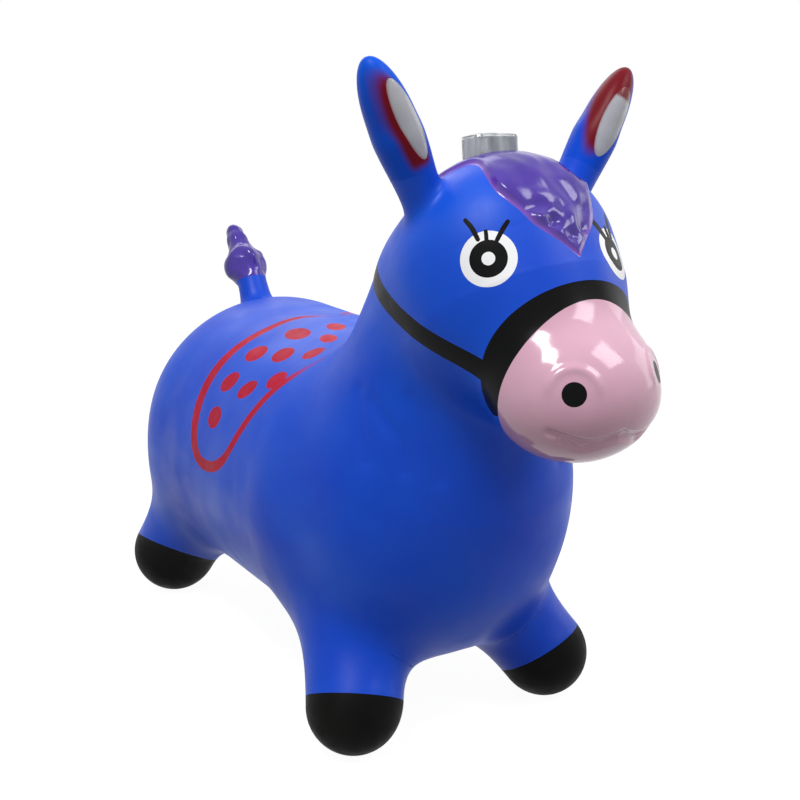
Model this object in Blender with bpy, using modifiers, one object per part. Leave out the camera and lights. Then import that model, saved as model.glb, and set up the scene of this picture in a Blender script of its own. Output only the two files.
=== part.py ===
"""Inflatable hopping animal with a flashing light on its head.

Metres, +Z up. It stands on Z = 0 with the origin under the middle of its length,
faces -Y and has its left side at +X.

The animal is one blown-up vinyl skin. Its surface is where a distance field, made of
blended balls and limbs, is zero. The skin is meshed once, given its wall, and divided
where its colour changes or where it flexes. Prints lie on it as thin films.
"""
import math

import bmesh
import bpy
import numpy as np
from mathutils import Matrix, Vector

# Fits
KERF = 0.0003
OVERRUN = 0.004
REACH = 0.30

# Skin
WALL = 0.0022
PRINT_THICKNESS = 0.0005
CELL = 0.006
KEPT_SHARE = 0.052
PROBE = 0.0005
SETTLE_ROUNDS = 5
EASE_ROUNDS = 3
EASE_SHARE = 0.5
ROUND_SEGMENTS = 24
BLEND_SHARE = 1 / 6

# Torso
RUMP_BACK = 0.1945
RUMP_HEIGHT = 0.170
RUMP_HALF_WIDTH = 0.125
RUMP_HALF_LENGTH = 0.0855
RUMP_HALF_HEIGHT = 0.1215
BARREL_FRONT = -0.019
BARREL_BACK = 0.128
BARREL_HEIGHT = 0.166
BARREL_RADIUS = 0.126
CHEST_BACK = -0.1025
CHEST_HEIGHT = 0.1715
CHEST_HALF_WIDTH = 0.1025
CHEST_HALF_LENGTH = 0.074
CHEST_HALF_HEIGHT = 0.1145
TORSO_BLEND = 0.0475

# Neck, from the middle of the chest, and head, from the neck's top
NECK_BASE_BEHIND = 0.0145
NECK_BASE_RISE = 0.045
NECK_BASE_RADIUS = 0.091
NECK_FORWARD = 0.044
NECK_RISE = 0.1135
NECK_TOP_RADIUS = 0.070
NECK_DIVISION_SHARE = 0.35
HEAD_FORWARD = 0.0405
HEAD_RISE = 0.024
HEAD_HALF_WIDTH = 0.074
HEAD_HALF_LENGTH = 0.0615
HEAD_HALF_HEIGHT = 0.073
BROW_SHARE = 0.8
SNOUT_FORWARD = 0.0165
SNOUT_DROP = 0.025
SNOUT_RADIUS = 0.0655
MUZZLE_FORWARD = 0.0745
MUZZLE_DROP = 0.0675
MUZZLE_HALF_WIDTH = 0.0565
MUZZLE_HALF_LENGTH = 0.048
MUZZLE_HALF_HEIGHT = 0.0455
SNOUT_BLEND = 0.0485
MUZZLE_BLEND = 0.042
NECK_BLEND = 0.045

# Ears, seated on the head by shares of its half sizes
EAR_SEAT_SHARES = (0.91, 0.18, 0.87)
EAR_LEAN_OUT = math.radians(27.8)
EAR_LEAN_FORWARD = math.radians(4.2)
EAR_TURN_IN = math.radians(26.8)
EAR_LENGTH = 0.0675
EAR_CROWN = 0.012
EAR_HALF_WIDTH = 0.0144
EAR_HALF_DEPTH = 0.0172
EAR_STEM_RADIUS = 0.0143
EAR_STEM_DEPTH = 0.025
EAR_STEM_SHARE = 0.35
EAR_STEM_TAPER_SHARE = 0.9
EAR_LEAF_BLEND = 0.014
EAR_BLEND = 0.012
EAR_ROOT_START = 0.004
EAR_ROOT_LENGTH = 0.013
EAR_LINING_HALF_WIDTH = 0.0085
EAR_LINING_HALF_LENGTH = 0.026
EAR_LINING_SHARE = 0.56
EAR_LINING_OUT_SHARE = 0.24

# Legs
FRONT_FOOT_OUT = 0.088
FRONT_FOOT_BACK = -0.114
FRONT_FOOT_RADIUS = 0.0355
FRONT_HIP_OUT = 0.0585
FRONT_HIP_BACK = -0.0525
FRONT_HIP_HEIGHT = 0.095
FRONT_HIP_RADIUS = 0.033
REAR_FOOT_OUT = 0.088
REAR_FOOT_BACK = 0.2535
REAR_FOOT_RADIUS = 0.040
REAR_HIP_OUT = 0.0685
REAR_HIP_BACK = 0.207
REAR_HIP_HEIGHT = 0.118
REAR_HIP_RADIUS = 0.037
LEG_BLEND = 0.067
SOLE_DEPTH = 0.0016
LEG_ZONE_RADIUS = 0.066
LEG_ZONE_SHARE = 0.25
FRONT_HOOF_RISE = 0.005
REAR_HOOF_RISE = 0.004
FRONT_HOOF_NORMAL_SHARES = (0.33, -0.45, -0.83)
REAR_HOOF_NORMAL_SHARES = (0.44, -0.09, -0.89)

# Tail, seated on the rump by shares of its half sizes
TAIL_SEAT_SHARES = (0.352, 0.782)
TAIL_LEAN = math.radians(26.6)
TAIL_LENGTH = 0.0447
TAIL_BASE_RADIUS = 0.0168
TAIL_END_RADIUS = 0.0137
TUFT_LEAN = math.radians(46.8)
TUFT_OFFSET = 0.0175
TUFT_RADIUS = 0.020
TUFT_NECK_SHARE = 0.8
TIP_LEAN = math.radians(38.4)
TIP_OFFSET = 0.040
TIP_RADIUS = 0.0091
TAIL_BLEND = 0.018
TUFT_BLEND = 0.010
TIP_BLEND = 0.008
TAIL_ROOT_START = 0.023
TAIL_ROOT_LENGTH = 0.011

# Face
MUZZLE_LINE_FORWARD = 0.0033
MUZZLE_LINE_RISE = 0.0314
MUZZLE_LINE_TILT = math.radians(14.8)
BAND_HALF_LENGTH = 0.067
BAND_HALF_WIDTH = 0.0231
BAND_LEAN = math.radians(32.7)
BAND_FORWARD = 0.013
BAND_RISE = 0.0135
STRAP_WIDTH = 0.014
STRAP_DROP = 0.0313
STRAP_RISE = math.radians(22.3)
EYE_PLACES = {"left": (math.radians(31.9), math.radians(11.4)),
              "right": (math.radians(46.2), math.radians(11.9))}
EYE_RADIUS = 0.0176
IRIS_RADIUS = 0.0118
DOT_RADIUS = 0.0042
NOSTRIL_PLACES = {"left": (math.radians(50), math.radians(15)),
                  "right": (math.radians(41.8), math.radians(9.1))}
NOSTRIL_RADIUS = 0.0076
PRINT_REACH = 0.020
FORELOCK_BEHIND_LIGHT = 0.0185
FORELOCK_LENGTH = 0.1243
FORELOCK_HALF_WIDTH = 0.045
FORELOCK_RISE = 0.0025
FORELOCK_OUTLINE_SHARES = ((0, 0), (0.045, 0.18), (0.107, 0.43), (0.171, 0.6), (0.3, 0.8), (0.42, 0.77),
                           (0.52, 0.69), (0.61, 0.69), (0.69, 0.86), (0.76, 0.96), (0.84, 0.86), (0.93, 0.58),
                           (0.985, 0.27))

# Valve under the belly
VALVE_BACK = 0.0485
VALVE_BORE_RADIUS = 0.0045
VALVE_BOSS_RADIUS = 0.0118
VALVE_BOSS_DEPTH = 0.010
PLUG_HEAD_RADIUS = 0.0095
PLUG_HEAD_THICKNESS = 0.0016
PLUG_STEM_LENGTH = 0.0125
PLUG_TAPER_SHARE = 0.82
PLUG_TAB_WIDTH = 0.004
PLUG_TAB_LENGTH = 0.012
PLUG_TAB_DEPTH = 0.003

# Light unit, in a pocket moulded in the top of the head
LIGHT_BEHIND = 0.0137
LIGHT_TILT = math.radians(6)
LIGHT_LENGTH = 0.022
LIGHT_CORNER = 0.0045
LIGHT_EDGE = 0.002
CAP_HEIGHT = 0.016
CAP_WALL = 0.0012
SPLIT_DEPTH = 0.002
BASE_WALL = 0.0015
BOARD_THICKNESS = 0.001
BOARD_SEAT_DEPTH = 0.0018
WEB = 0.002
CELL_RADIUS = 0.0058
CELL_THICKNESS = 0.0054
CELL_COUNT = 3
CONTACT_THICKNESS = 0.0004
CONTACT_WIDTH = 0.008
CONTACT_TAIL_WIDTH = 0.003
DOOR_THICKNESS = 0.0016
DOOR_LIP = 0.00115
DOOR_CORNER = 0.002
SCREW_RADIUS = 0.001
SCREW_HEAD_RADIUS = 0.0017
SCREW_HEAD_THICKNESS = 0.0008
SCREW_LENGTH = 0.006
SCREW_INSET = 0.0018
SCREW_WEB = 0.00075
SCREW_WALL = 0.0045
LAMP_RADIUS = 0.0015
LAMP_HEIGHT = 0.0048
LAMP_DOME_STEPS = 5
LAMP_SPOTS_SHARES = {"right": (-0.62, 0.5), "middle": (0, 0.68), "left": (0.62, 0.5)}
CHIP_SIZE = (0.0085, 0.006, 0.004)
CHIP_SPOT_SHARES = (0.63, -0.42)
SWITCH_SIZE = 0.006
SWITCH_HEIGHT = 0.0035
PLUNGER_RADIUS = 0.0016
PLUNGER_HEIGHT = 0.0017
PRESS_TRAVEL = 0.0010
BUTTON_RADIUS = 0.0062
BUTTON_RISE = 0.0008
BUTTON_RIM = 0.0012
BUTTON_RIM_THICKNESS = 0.0010
BUTTON_STEM_RADIUS = 0.0018
SHAKE_SPOT_SHARES = (-0.56, -0.42)
SHAKE_COIL_RADIUS = 0.0017
SHAKE_WIRE_RADIUS = 0.0002
SHAKE_TURNS = 7
SHAKE_HEIGHT = 0.0075
SHAKE_POINTS_PER_TURN = 8
SHAKE_PIN_RADIUS = 0.0004
SHAKE_PIN_HEIGHT = 0.0085
POCKET_WALL = 0.0022
POCKET_FLOOR = 0.0022

SIDES = {"left": 1, "right": -1}

# Values worked out from the sizes above
TINY = 1e-9
MERGE = KERF / 30
MARCH_ROUNDS = 60
SMALL_SEGMENTS = 12
SHARP_ANGLE = math.radians(35)
HOOF_NORMALS = {"front": FRONT_HOOF_NORMAL_SHARES, "rear": REAR_HOOF_NORMAL_SHARES}
HOOF_RISES = {"front": FRONT_HOOF_RISE, "rear": REAR_HOOF_RISE}
STACK_HALF = (CELL_COUNT * CELL_THICKNESS + (CELL_COUNT - 1) * KERF) / 2
CONTACT_MIDDLE = STACK_HALF + KERF + CONTACT_THICKNESS / 2
CAVITY_HALF_WIDTH = CONTACT_MIDDLE + CONTACT_THICKNESS / 2 + KERF
SCREW_OUT = CAVITY_HALF_WIDTH + SCREW_WEB + SCREW_RADIUS + KERF
LIGHT_WIDTH = (SCREW_OUT + SCREW_RADIUS + KERF + SCREW_WALL) * 2
DOOR_WIDTH = (SCREW_OUT + SCREW_INSET) * 2
DOOR_LENGTH = (CELL_RADIUS + KERF + DOOR_LIP) * 2
BASE_TOP = -SPLIT_DEPTH - KERF
BOARD_SEAT = BASE_TOP - BOARD_SEAT_DEPTH
BOARD_HALF_WIDTH = LIGHT_WIDTH / 2 - BASE_WALL - KERF
BOARD_HALF_LENGTH = LIGHT_LENGTH / 2 - BASE_WALL - KERF
CELL_HEIGHT = BOARD_SEAT - WEB - KERF - CELL_RADIUS
BASE_DEPTH = -(CELL_HEIGHT - CELL_RADIUS - KERF * 2 - DOOR_THICKNESS)


# Colours and materials

def srgb(red, green, blue):
    """Turns screen values from 0 to 255 into the linear values that shaders take."""
    shares = np.array((red, green, blue)) / 255
    low = shares / 12.92
    high = ((shares + 0.055) / 1.055) ** 2.4
    return (*np.where(shares <= 0.04045, low, high).tolist(), 1)


def material(name, colour, roughness, metallic=0.0, clear=0.0):
    made = bpy.data.materials.new(name)
    made.use_nodes = True
    shader = made.node_tree.nodes["Principled BSDF"]
    shader.inputs["Base Color"].default_value = colour
    shader.inputs["Roughness"].default_value = roughness
    shader.inputs["Metallic"].default_value = metallic
    shader.inputs["Transmission Weight"].default_value = clear
    made.diffuse_color = colour
    return made


def make_materials():
    return {
        "blue": material("blue_vinyl", srgb(35, 75, 205), 0.42),
        "pink": material("pink_vinyl", srgb(222, 172, 196), 0.18),
        "purple": material("purple_vinyl", srgb(82, 52, 172), 0.2),
        "hoof": material("black_vinyl", srgb(24, 24, 22), 0.6),
        "band": material("black_print", srgb(16, 16, 18), 0.3),
        "white": material("white_print", srgb(240, 240, 240), 0.35),
        "lining": material("grey_print", srgb(178, 178, 182), 0.4),
        "plug": material("white_plug", srgb(225, 225, 220), 0.4),
        "clear": material("clear_plastic", srgb(205, 212, 214), 0.08, clear=0.9),
        "grey": material("grey_plastic", srgb(120, 122, 126), 0.4),
        "board": material("board_green", srgb(20, 92, 52), 0.4),
        "chip": material("black_resin", srgb(14, 14, 15), 0.3),
        "lamp": material("red_lens", srgb(210, 30, 30), 0.1, clear=0.6),
        "steel": material("plated_steel", srgb(196, 196, 192), 0.25, 1.0),
    }


# Objects

def clear_scene():
    for item in list(bpy.data.objects):
        bpy.data.objects.remove(item, do_unlink=True)


def collection(name):
    made = bpy.data.collections.new(name)
    bpy.context.scene.collection.children.link(made)
    return made


def add(name, mesh, group):
    item = bpy.data.objects.new(name, mesh)
    group.objects.link(item)
    return item


def evaluated_mesh(item):
    bpy.context.view_layer.update()
    graph = bpy.context.evaluated_depsgraph_get()
    return bpy.data.meshes.new_from_object(item.evaluated_get(graph))


def bake(item):
    """Replaces an object's mesh by what its modifiers make of it."""
    mesh = evaluated_mesh(item)
    item.modifiers.clear()
    item.data = mesh
    return item


def cutter(name, mesh):
    item = add(name, mesh, CUTTERS)
    item.hide_render = True
    item.display_type = "WIRE"
    return item


def combine(item, other, operation):
    step = item.modifiers.new(operation.lower(), "BOOLEAN")
    step.operation = operation
    step.solver = "EXACT"
    step.object = other
    return bake(item)


def copy_of(item, name, group):
    return add(name, item.data.copy(), group)


def mesh_from(bm, name="solid"):
    mesh = bpy.data.meshes.new(name)
    bm.to_mesh(mesh)
    bm.free()
    return mesh


def facing(point, direction):
    """A frame at a point whose Z runs along a direction."""
    turn = Vector(direction).to_track_quat("Z", "Y").to_matrix().to_4x4()
    return Matrix.Translation(point) @ turn


# Solids from primitives

def block_mesh(low, high, frame=Matrix(), corner=0.0, edge=0.0, segments=3):
    """A box between two corners, with its upright edges and its top edges rounded."""
    low, high = Vector(low), Vector(high)
    bm = bmesh.new()
    bmesh.ops.create_cube(bm, size=1)
    size = high - low
    bmesh.ops.scale(bm, vec=size, verts=bm.verts)
    bmesh.ops.translate(bm, vec=(low + high) / 2, verts=bm.verts)
    if corner:
        upright = [e for e in bm.edges if abs(e.verts[0].co.z - e.verts[1].co.z) > size.z / 2]
        bmesh.ops.bevel(bm, geom=upright, offset=corner, segments=segments, profile=0.5, affect="EDGES")
    if edge:
        top = [e for e in bm.edges if min(v.co.z for v in e.verts) > high.z - edge / 2]
        bmesh.ops.bevel(bm, geom=top, offset=edge, segments=2, profile=0.5, affect="EDGES")
    bm.transform(frame)
    return mesh_from(bm)


def rod_mesh(radius, low, high, frame=Matrix(), end_radius=None, segments=ROUND_SEGMENTS):
    """A cylinder or cone about the frame's Z, between two heights."""
    bm = bmesh.new()
    bmesh.ops.create_cone(bm, cap_ends=True, segments=segments, radius1=radius,
                          radius2=radius if end_radius is None else end_radius, depth=high - low)
    bmesh.ops.translate(bm, vec=(0, 0, (low + high) / 2), verts=bm.verts)
    bm.transform(frame)
    return mesh_from(bm)


def ball_mesh(centre, radius):
    bm = bmesh.new()
    bmesh.ops.create_icosphere(bm, subdivisions=3, radius=radius, matrix=Matrix.Translation(centre))
    return mesh_from(bm)


def beyond(name, point, normal, reach=REACH):
    """A cutter that fills the space on the normal's side of a plane."""
    return cutter(name, block_mesh((-reach, -reach, 0), (reach, reach, reach), facing(point, normal)))


def turned(name, profile, frame, group, segments=ROUND_SEGMENTS):
    """A solid turned about the frame's Z from (radius, height) points, top to bottom."""
    bm = bmesh.new()
    points = [bm.verts.new((radius, 0, height)) for radius, height in profile]
    for first, second in zip(points, points[1:]):
        bm.edges.new((first, second))
    item = add(name, mesh_from(bm), group)
    screw = item.modifiers.new("turn", "SCREW")
    screw.steps = segments
    screw.render_steps = segments
    screw.use_merge_vertices = True
    screw.merge_threshold = KERF / 100
    bake(item)
    item.data.transform(frame)
    return item


# Forms that the skin is blended from

class Ball:
    """An ellipsoid with its half sizes along its own axes, given as rows."""

    def __init__(self, centre, radii, axes=None):
        self.centre = np.array(centre, float)
        self.radii = np.array(radii, float)
        self.axes = np.eye(3) if axes is None else np.array(axes)

    def distance(self, points):
        offset = (points - self.centre) @ self.axes.T
        reach = np.sqrt(((offset / self.radii) ** 2).sum(1))
        slope = np.sqrt(((offset / self.radii ** 2) ** 2).sum(1)) + TINY
        return reach * (reach - 1) / slope

    def add_to(self, bm):
        turn = Matrix(self.axes.T.tolist()).to_4x4()
        placed = Matrix.Translation(self.centre) @ turn @ Matrix.Diagonal((*self.radii, 1))
        bmesh.ops.create_uvsphere(bm, u_segments=ROUND_SEGMENTS, v_segments=ROUND_SEGMENTS // 2,
                                  radius=1, matrix=placed)


class Limb:
    """A tapered rod with round ends."""

    def __init__(self, start, end, start_radius, end_radius):
        self.start = np.array(start, float)
        self.end = np.array(end, float)
        self.start_radius = start_radius
        self.end_radius = end_radius

    def distance(self, points):
        along = self.end - self.start
        share = np.clip(((points - self.start) @ along) / (along @ along), 0, 1)
        distance = np.linalg.norm(points - self.start - share[:, None] * along, axis=1)
        return distance - (self.start_radius + (self.end_radius - self.start_radius) * share)

    def add_to(self, bm):
        for centre, radius in ((self.start, self.start_radius), (self.end, self.end_radius)):
            Ball(centre, (radius, radius, radius)).add_to(bm)
        middle = facing((self.start + self.end) / 2, self.end - self.start)
        bmesh.ops.create_cone(bm, cap_ends=True, segments=ROUND_SEGMENTS, radius1=self.start_radius,
                              radius2=self.end_radius, depth=float(np.linalg.norm(self.end - self.start)),
                              matrix=middle)

    def point(self, share):
        return self.start + (self.end - self.start) * share


def unit(vector):
    vector = np.array(vector, float)
    return vector / np.linalg.norm(vector)


def leaning(angle):
    """A direction in the middle plane, leaning back from upright."""
    return np.array((0, math.sin(angle), math.cos(angle)))


def outward(turn, rise):
    """A direction turned from straight ahead to the left, and raised."""
    return np.array((math.sin(turn) * math.cos(rise), -math.cos(turn) * math.cos(rise), math.sin(rise)))


RUMP = Ball((0, RUMP_BACK, RUMP_HEIGHT), (RUMP_HALF_WIDTH, RUMP_HALF_LENGTH, RUMP_HALF_HEIGHT))
BARREL = Limb((0, BARREL_FRONT, BARREL_HEIGHT), (0, BARREL_BACK, BARREL_HEIGHT), BARREL_RADIUS, BARREL_RADIUS)
CHEST = Ball((0, CHEST_BACK, CHEST_HEIGHT), (CHEST_HALF_WIDTH, CHEST_HALF_LENGTH, CHEST_HALF_HEIGHT))
NECK_BASE = CHEST.centre + (0, NECK_BASE_BEHIND, NECK_BASE_RISE)
NECK = Limb(NECK_BASE, NECK_BASE + (0, -NECK_FORWARD, NECK_RISE), NECK_BASE_RADIUS, NECK_TOP_RADIUS)
HEAD = Ball(NECK.end + (0, -HEAD_FORWARD, HEAD_RISE), (HEAD_HALF_WIDTH, HEAD_HALF_LENGTH, HEAD_HALF_HEIGHT))
SNOUT = Limb(HEAD.centre, HEAD.centre - (0, SNOUT_FORWARD, SNOUT_DROP), HEAD_HALF_WIDTH * BROW_SHARE,
             SNOUT_RADIUS)
MUZZLE = Ball(HEAD.centre - (0, MUZZLE_FORWARD, MUZZLE_DROP),
              (MUZZLE_HALF_WIDTH, MUZZLE_HALF_LENGTH, MUZZLE_HALF_HEIGHT))
LEGS = {
    "front": Limb((FRONT_HIP_OUT, FRONT_HIP_BACK, FRONT_HIP_HEIGHT),
                  (FRONT_FOOT_OUT, FRONT_FOOT_BACK, FRONT_FOOT_RADIUS - SOLE_DEPTH),
                  FRONT_HIP_RADIUS, FRONT_FOOT_RADIUS),
    "rear": Limb((REAR_HIP_OUT, REAR_HIP_BACK, REAR_HIP_HEIGHT),
                 (REAR_FOOT_OUT, REAR_FOOT_BACK, REAR_FOOT_RADIUS - SOLE_DEPTH),
                 REAR_HIP_RADIUS, REAR_FOOT_RADIUS),
}
EAR_SEAT = HEAD.centre + HEAD.radii * EAR_SEAT_SHARES
EAR_AXIS = unit((math.tan(EAR_LEAN_OUT), -math.tan(EAR_LEAN_FORWARD), 1))
EAR_TIP = EAR_SEAT + EAR_AXIS * EAR_LENGTH
EAR_SIDE = unit(np.cross((-math.sin(EAR_TURN_IN), -math.cos(EAR_TURN_IN), 0), EAR_AXIS))
EAR_FRONT = np.cross(EAR_AXIS, EAR_SIDE)
EAR_LEAF = Ball((EAR_SEAT + EAR_TIP) / 2, (EAR_HALF_WIDTH, EAR_HALF_DEPTH, EAR_LENGTH / 2 + EAR_CROWN),
                (EAR_SIDE, EAR_FRONT, EAR_AXIS))
EAR_STEM = Limb(EAR_SEAT - EAR_AXIS * EAR_STEM_DEPTH, EAR_SEAT + EAR_AXIS * EAR_LENGTH * EAR_STEM_SHARE,
                EAR_STEM_RADIUS, EAR_STEM_RADIUS * EAR_STEM_TAPER_SHARE)
TAIL_AXIS = leaning(TAIL_LEAN)
TAIL_SEAT = RUMP.centre + RUMP.radii * (0, *TAIL_SEAT_SHARES)
TAIL_END = TAIL_SEAT + TAIL_AXIS * TAIL_LENGTH
TUFT_CENTRE = TAIL_END + leaning(TUFT_LEAN) * TUFT_OFFSET
TAIL = Limb(TAIL_SEAT, TAIL_END, TAIL_BASE_RADIUS, TAIL_END_RADIUS)
TUFT = Ball(TUFT_CENTRE, (TUFT_RADIUS, TUFT_RADIUS, TUFT_RADIUS))
TIP = Limb(TUFT_CENTRE, TUFT_CENTRE + leaning(TIP_LEAN) * TIP_OFFSET, TUFT_RADIUS * TUFT_NECK_SHARE, TIP_RADIUS)


def smooth_union(first, second, width):
    overlap = np.maximum(width - np.abs(first - second), 0) / width
    return np.minimum(first, second) - overlap ** 3 * width * BLEND_SHARE


def skin_field(points):
    """Roughly the distance outside the skin, alike on both sides."""
    points = np.column_stack((np.abs(points[:, 0]), points[:, 1:]))
    torso = smooth_union(RUMP.distance(points), BARREL.distance(points), TORSO_BLEND)
    torso = smooth_union(torso, CHEST.distance(points), TORSO_BLEND)
    face = smooth_union(HEAD.distance(points), SNOUT.distance(points), SNOUT_BLEND)
    face = smooth_union(face, MUZZLE.distance(points), MUZZLE_BLEND)
    field = smooth_union(torso, smooth_union(NECK.distance(points), face, NECK_BLEND), TORSO_BLEND)
    for leg in LEGS.values():
        field = smooth_union(field, leg.distance(points), LEG_BLEND)
    ear = smooth_union(EAR_LEAF.distance(points), EAR_STEM.distance(points), EAR_LEAF_BLEND)
    field = smooth_union(field, ear, EAR_BLEND)
    tail = smooth_union(TAIL.distance(points), TUFT.distance(points), TUFT_BLEND)
    tail = smooth_union(tail, TIP.distance(points), TIP_BLEND)
    return smooth_union(field, tail, TAIL_BLEND)


def slope_at(points):
    steps = np.eye(3) * PROBE
    return np.stack([skin_field(points + step) - skin_field(points - step) for step in steps], 1) / (2 * PROBE)


def settle(points, level):
    """Moves points along the field's slope until it has the level's value."""
    for _ in range(SETTLE_ROUNDS):
        slope = slope_at(points)
        gap = skin_field(points) - level
        points = points - slope * (gap / (slope ** 2).sum(1))[:, None]
    return points


def meet(start, direction):
    """Where a ray from inside the skin meets it."""
    point = np.array(start, float)
    for _ in range(MARCH_ROUNDS):
        point = point - direction * skin_field(point[None])[0]
    return point


def normal_at(point):
    return unit(slope_at(point[None])[0])


# The skin's meshes

def positions(mesh):
    flat = np.empty(len(mesh.vertices) * 3)
    mesh.vertices.foreach_get("co", flat)
    return flat.reshape(-1, 3)


def place(mesh, points):
    mesh.vertices.foreach_set("co", points.ravel())
    mesh.update()


def rim_vertices(mesh):
    bm = bmesh.new()
    bm.from_mesh(mesh)
    rim = np.array([v.is_boundary for v in bm.verts])
    bm.free()
    return rim


def ease(mesh, points, rim):
    """Evens out the spacing of a half's points and keeps its rim in the middle plane."""
    edges = np.empty(len(mesh.edges) * 2, int)
    mesh.edges.foreach_get("vertices", edges)
    edges = np.concatenate((edges.reshape(-1, 2), edges.reshape(-1, 2)[:, ::-1]))
    count = np.bincount(edges[:, 0], minlength=len(points))[:, None]
    total = np.zeros_like(points)
    np.add.at(total, edges[:, 0], points[edges[:, 1]])
    points = points + (total / count - points) * EASE_SHARE
    points[rim, 0] = 0
    return points


def settle_half(mesh, rounds):
    rim = rim_vertices(mesh)
    points = settle(positions(mesh), 0)
    for _ in range(rounds):
        points = settle(ease(mesh, points, rim), 0)
    points[rim, 0] = 0
    place(mesh, points)


def make_skin_mesh():
    """The whole outer surface, from one remeshed, settled and thinned half."""
    bm = bmesh.new()
    for form in (RUMP, BARREL, CHEST, NECK, HEAD, SNOUT, MUZZLE, *LEGS.values(), EAR_LEAF, EAR_STEM,
                 TAIL, TUFT, TIP):
        form.add_to(bm)
    rough = cutter("rough_skin", mesh_from(bm))
    remesh = rough.modifiers.new("even_cells", "REMESH")
    remesh.mode = "VOXEL"
    remesh.voxel_size = CELL
    bake(rough)
    bm = bmesh.new()
    bm.from_mesh(rough.data)
    bmesh.ops.bisect_plane(bm, geom=bm.verts[:] + bm.edges[:] + bm.faces[:], plane_co=(0, 0, 0),
                           plane_no=(1, 0, 0), clear_inner=True)
    bm.to_mesh(rough.data)
    bm.free()
    settle_half(rough.data, EASE_ROUNDS)
    thin = rough.modifiers.new("fewer_faces", "DECIMATE")
    thin.ratio = KEPT_SHARE
    thin.use_collapse_triangulate = True
    bake(rough)
    settle_half(rough.data, 0)
    mirror = rough.modifiers.new("other_side", "MIRROR")
    mirror.use_axis = (True, False, False)
    mirror.merge_threshold = MERGE
    bake(rough)
    return rough


def level_surface(name, level):
    item = copy_of(BASE, name, CUTTERS)
    item.hide_render = True
    item.display_type = "WIRE"
    place(item.data, settle(positions(item.data), level))
    return item


def shell(name, outer_level, inner_level):
    outer = level_surface(name, outer_level)
    return combine(outer, level_surface(name + "_inside", inner_level), "DIFFERENCE")


def below(name, height):
    return beyond(name, (0, 0, height), (0, 0, -1), REACH * 2)


def make_wall():
    """The skin with its wall, flat where it stands."""
    outer = combine(level_surface("wall", 0), below("ground", 0), "DIFFERENCE")
    inner = combine(level_surface("wall_inside", -WALL), below("ground_inside", WALL), "DIFFERENCE")
    return combine(outer, inner, "DIFFERENCE")


def zone(name, source, keep=(), drop=()):
    item = copy_of(source, name, PARTS)
    for other in keep:
        combine(item, other, "INTERSECT")
    for other in drop:
        combine(item, other, "DIFFERENCE")
    return item


def twin(item, name):
    """The same piece on the other side."""
    other = copy_of(item, name, PARTS)
    other.data.transform(Matrix.Scale(-1, 4, (1, 0, 0)))
    other.data.flip_normals()
    return other


def pair(pattern, item):
    """Names a left piece and makes its right twin."""
    item.name = pattern.format("left")
    return [item, twin(item, pattern.format("right"))]


def twin_cutter(item):
    other = copy_of(item, item.name + "_other", CUTTERS)
    other.hide_render = True
    other.display_type = "WIRE"
    other.data.transform(Matrix.Scale(-1, 4, (1, 0, 0)))
    other.data.flip_normals()
    return other


# Zones of the skin

def leg_cutters(end):
    """The leg's ball and its hoof block, each also with the kerf added."""
    leg = LEGS[end]
    up = -unit(HOOF_NORMALS[end])
    middle = leg.point(1 - LEG_ZONE_SHARE)
    plane = leg.end + up * HOOF_RISES[end]
    reach = leg.end_radius + LEG_ZONE_RADIUS
    return {
        "ball": cutter(end + "_leg_ball", ball_mesh(middle, LEG_ZONE_RADIUS)),
        "wide_ball": cutter(end + "_leg_wide_ball", ball_mesh(middle, LEG_ZONE_RADIUS + KERF)),
        "hoof": beyond(end + "_hoof_block", plane, -up, reach),
        "wide_hoof": beyond(end + "_hoof_wide_block", plane + up * KERF, -up, reach),
    }


def make_legs(cutters):
    parts = {}
    for end, shapes in cutters.items():
        hoof = zone("hoof", WALL_SOLID, keep=[shapes["hoof"]])
        leg = zone("leg", WALL_SOLID, keep=[shapes["ball"]], drop=[shapes["wide_hoof"]])
        parts[end] = {"hooves": pair("hoof_" + end + "_{}", hoof), "legs": pair("leg_" + end + "_{}", leg)}
    return parts


def ear_plane(distance):
    return EAR_SEAT + EAR_AXIS * distance


def ear_cutters():
    reach = EAR_LENGTH + EAR_CROWN * 2
    root_end = EAR_ROOT_START + EAR_ROOT_LENGTH
    return {
        "all": beyond("ear_all", ear_plane(EAR_ROOT_START), EAR_AXIS, reach),
        "root": beyond("ear_root_start", ear_plane(EAR_ROOT_START + KERF), EAR_AXIS, reach),
        "free": beyond("ear_free", ear_plane(root_end), EAR_AXIS, reach),
        "leaf": beyond("ear_leaf", ear_plane(root_end + KERF), EAR_AXIS, reach),
    }


def make_ears(shapes):
    root = zone("ear_root", WALL_SOLID, keep=[shapes["root"]], drop=[shapes["free"]])
    leaf = zone("ear", WALL_SOLID, keep=[shapes["leaf"]])
    lining_centre = ear_plane(EAR_LENGTH * EAR_LINING_SHARE)
    lining_centre = lining_centre - EAR_SIDE * EAR_HALF_WIDTH * EAR_LINING_OUT_SHARE
    frame = facing(lining_centre, EAR_FRONT)
    along = frame.to_3x3().inverted() @ Vector(EAR_AXIS)
    frame = frame @ Matrix.Rotation(math.atan2(along.y, along.x), 4, "Z")
    outline = rod_mesh(1, 0, EAR_HALF_DEPTH + OVERRUN)
    outline.transform(frame @ Matrix.Diagonal((EAR_LINING_HALF_LENGTH, EAR_LINING_HALF_WIDTH, 1, 1)))
    lining = zone("ear_lining", FILM, keep=[cutter("lining_outline", outline)])
    return {
        "roots": pair("ear_root_{}", root),
        "leaves": pair("ear_{}", leaf),
        "linings": pair("ear_lining_{}", lining),
    }


def tail_plane(distance):
    return TAIL_SEAT + TAIL_AXIS * distance


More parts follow.
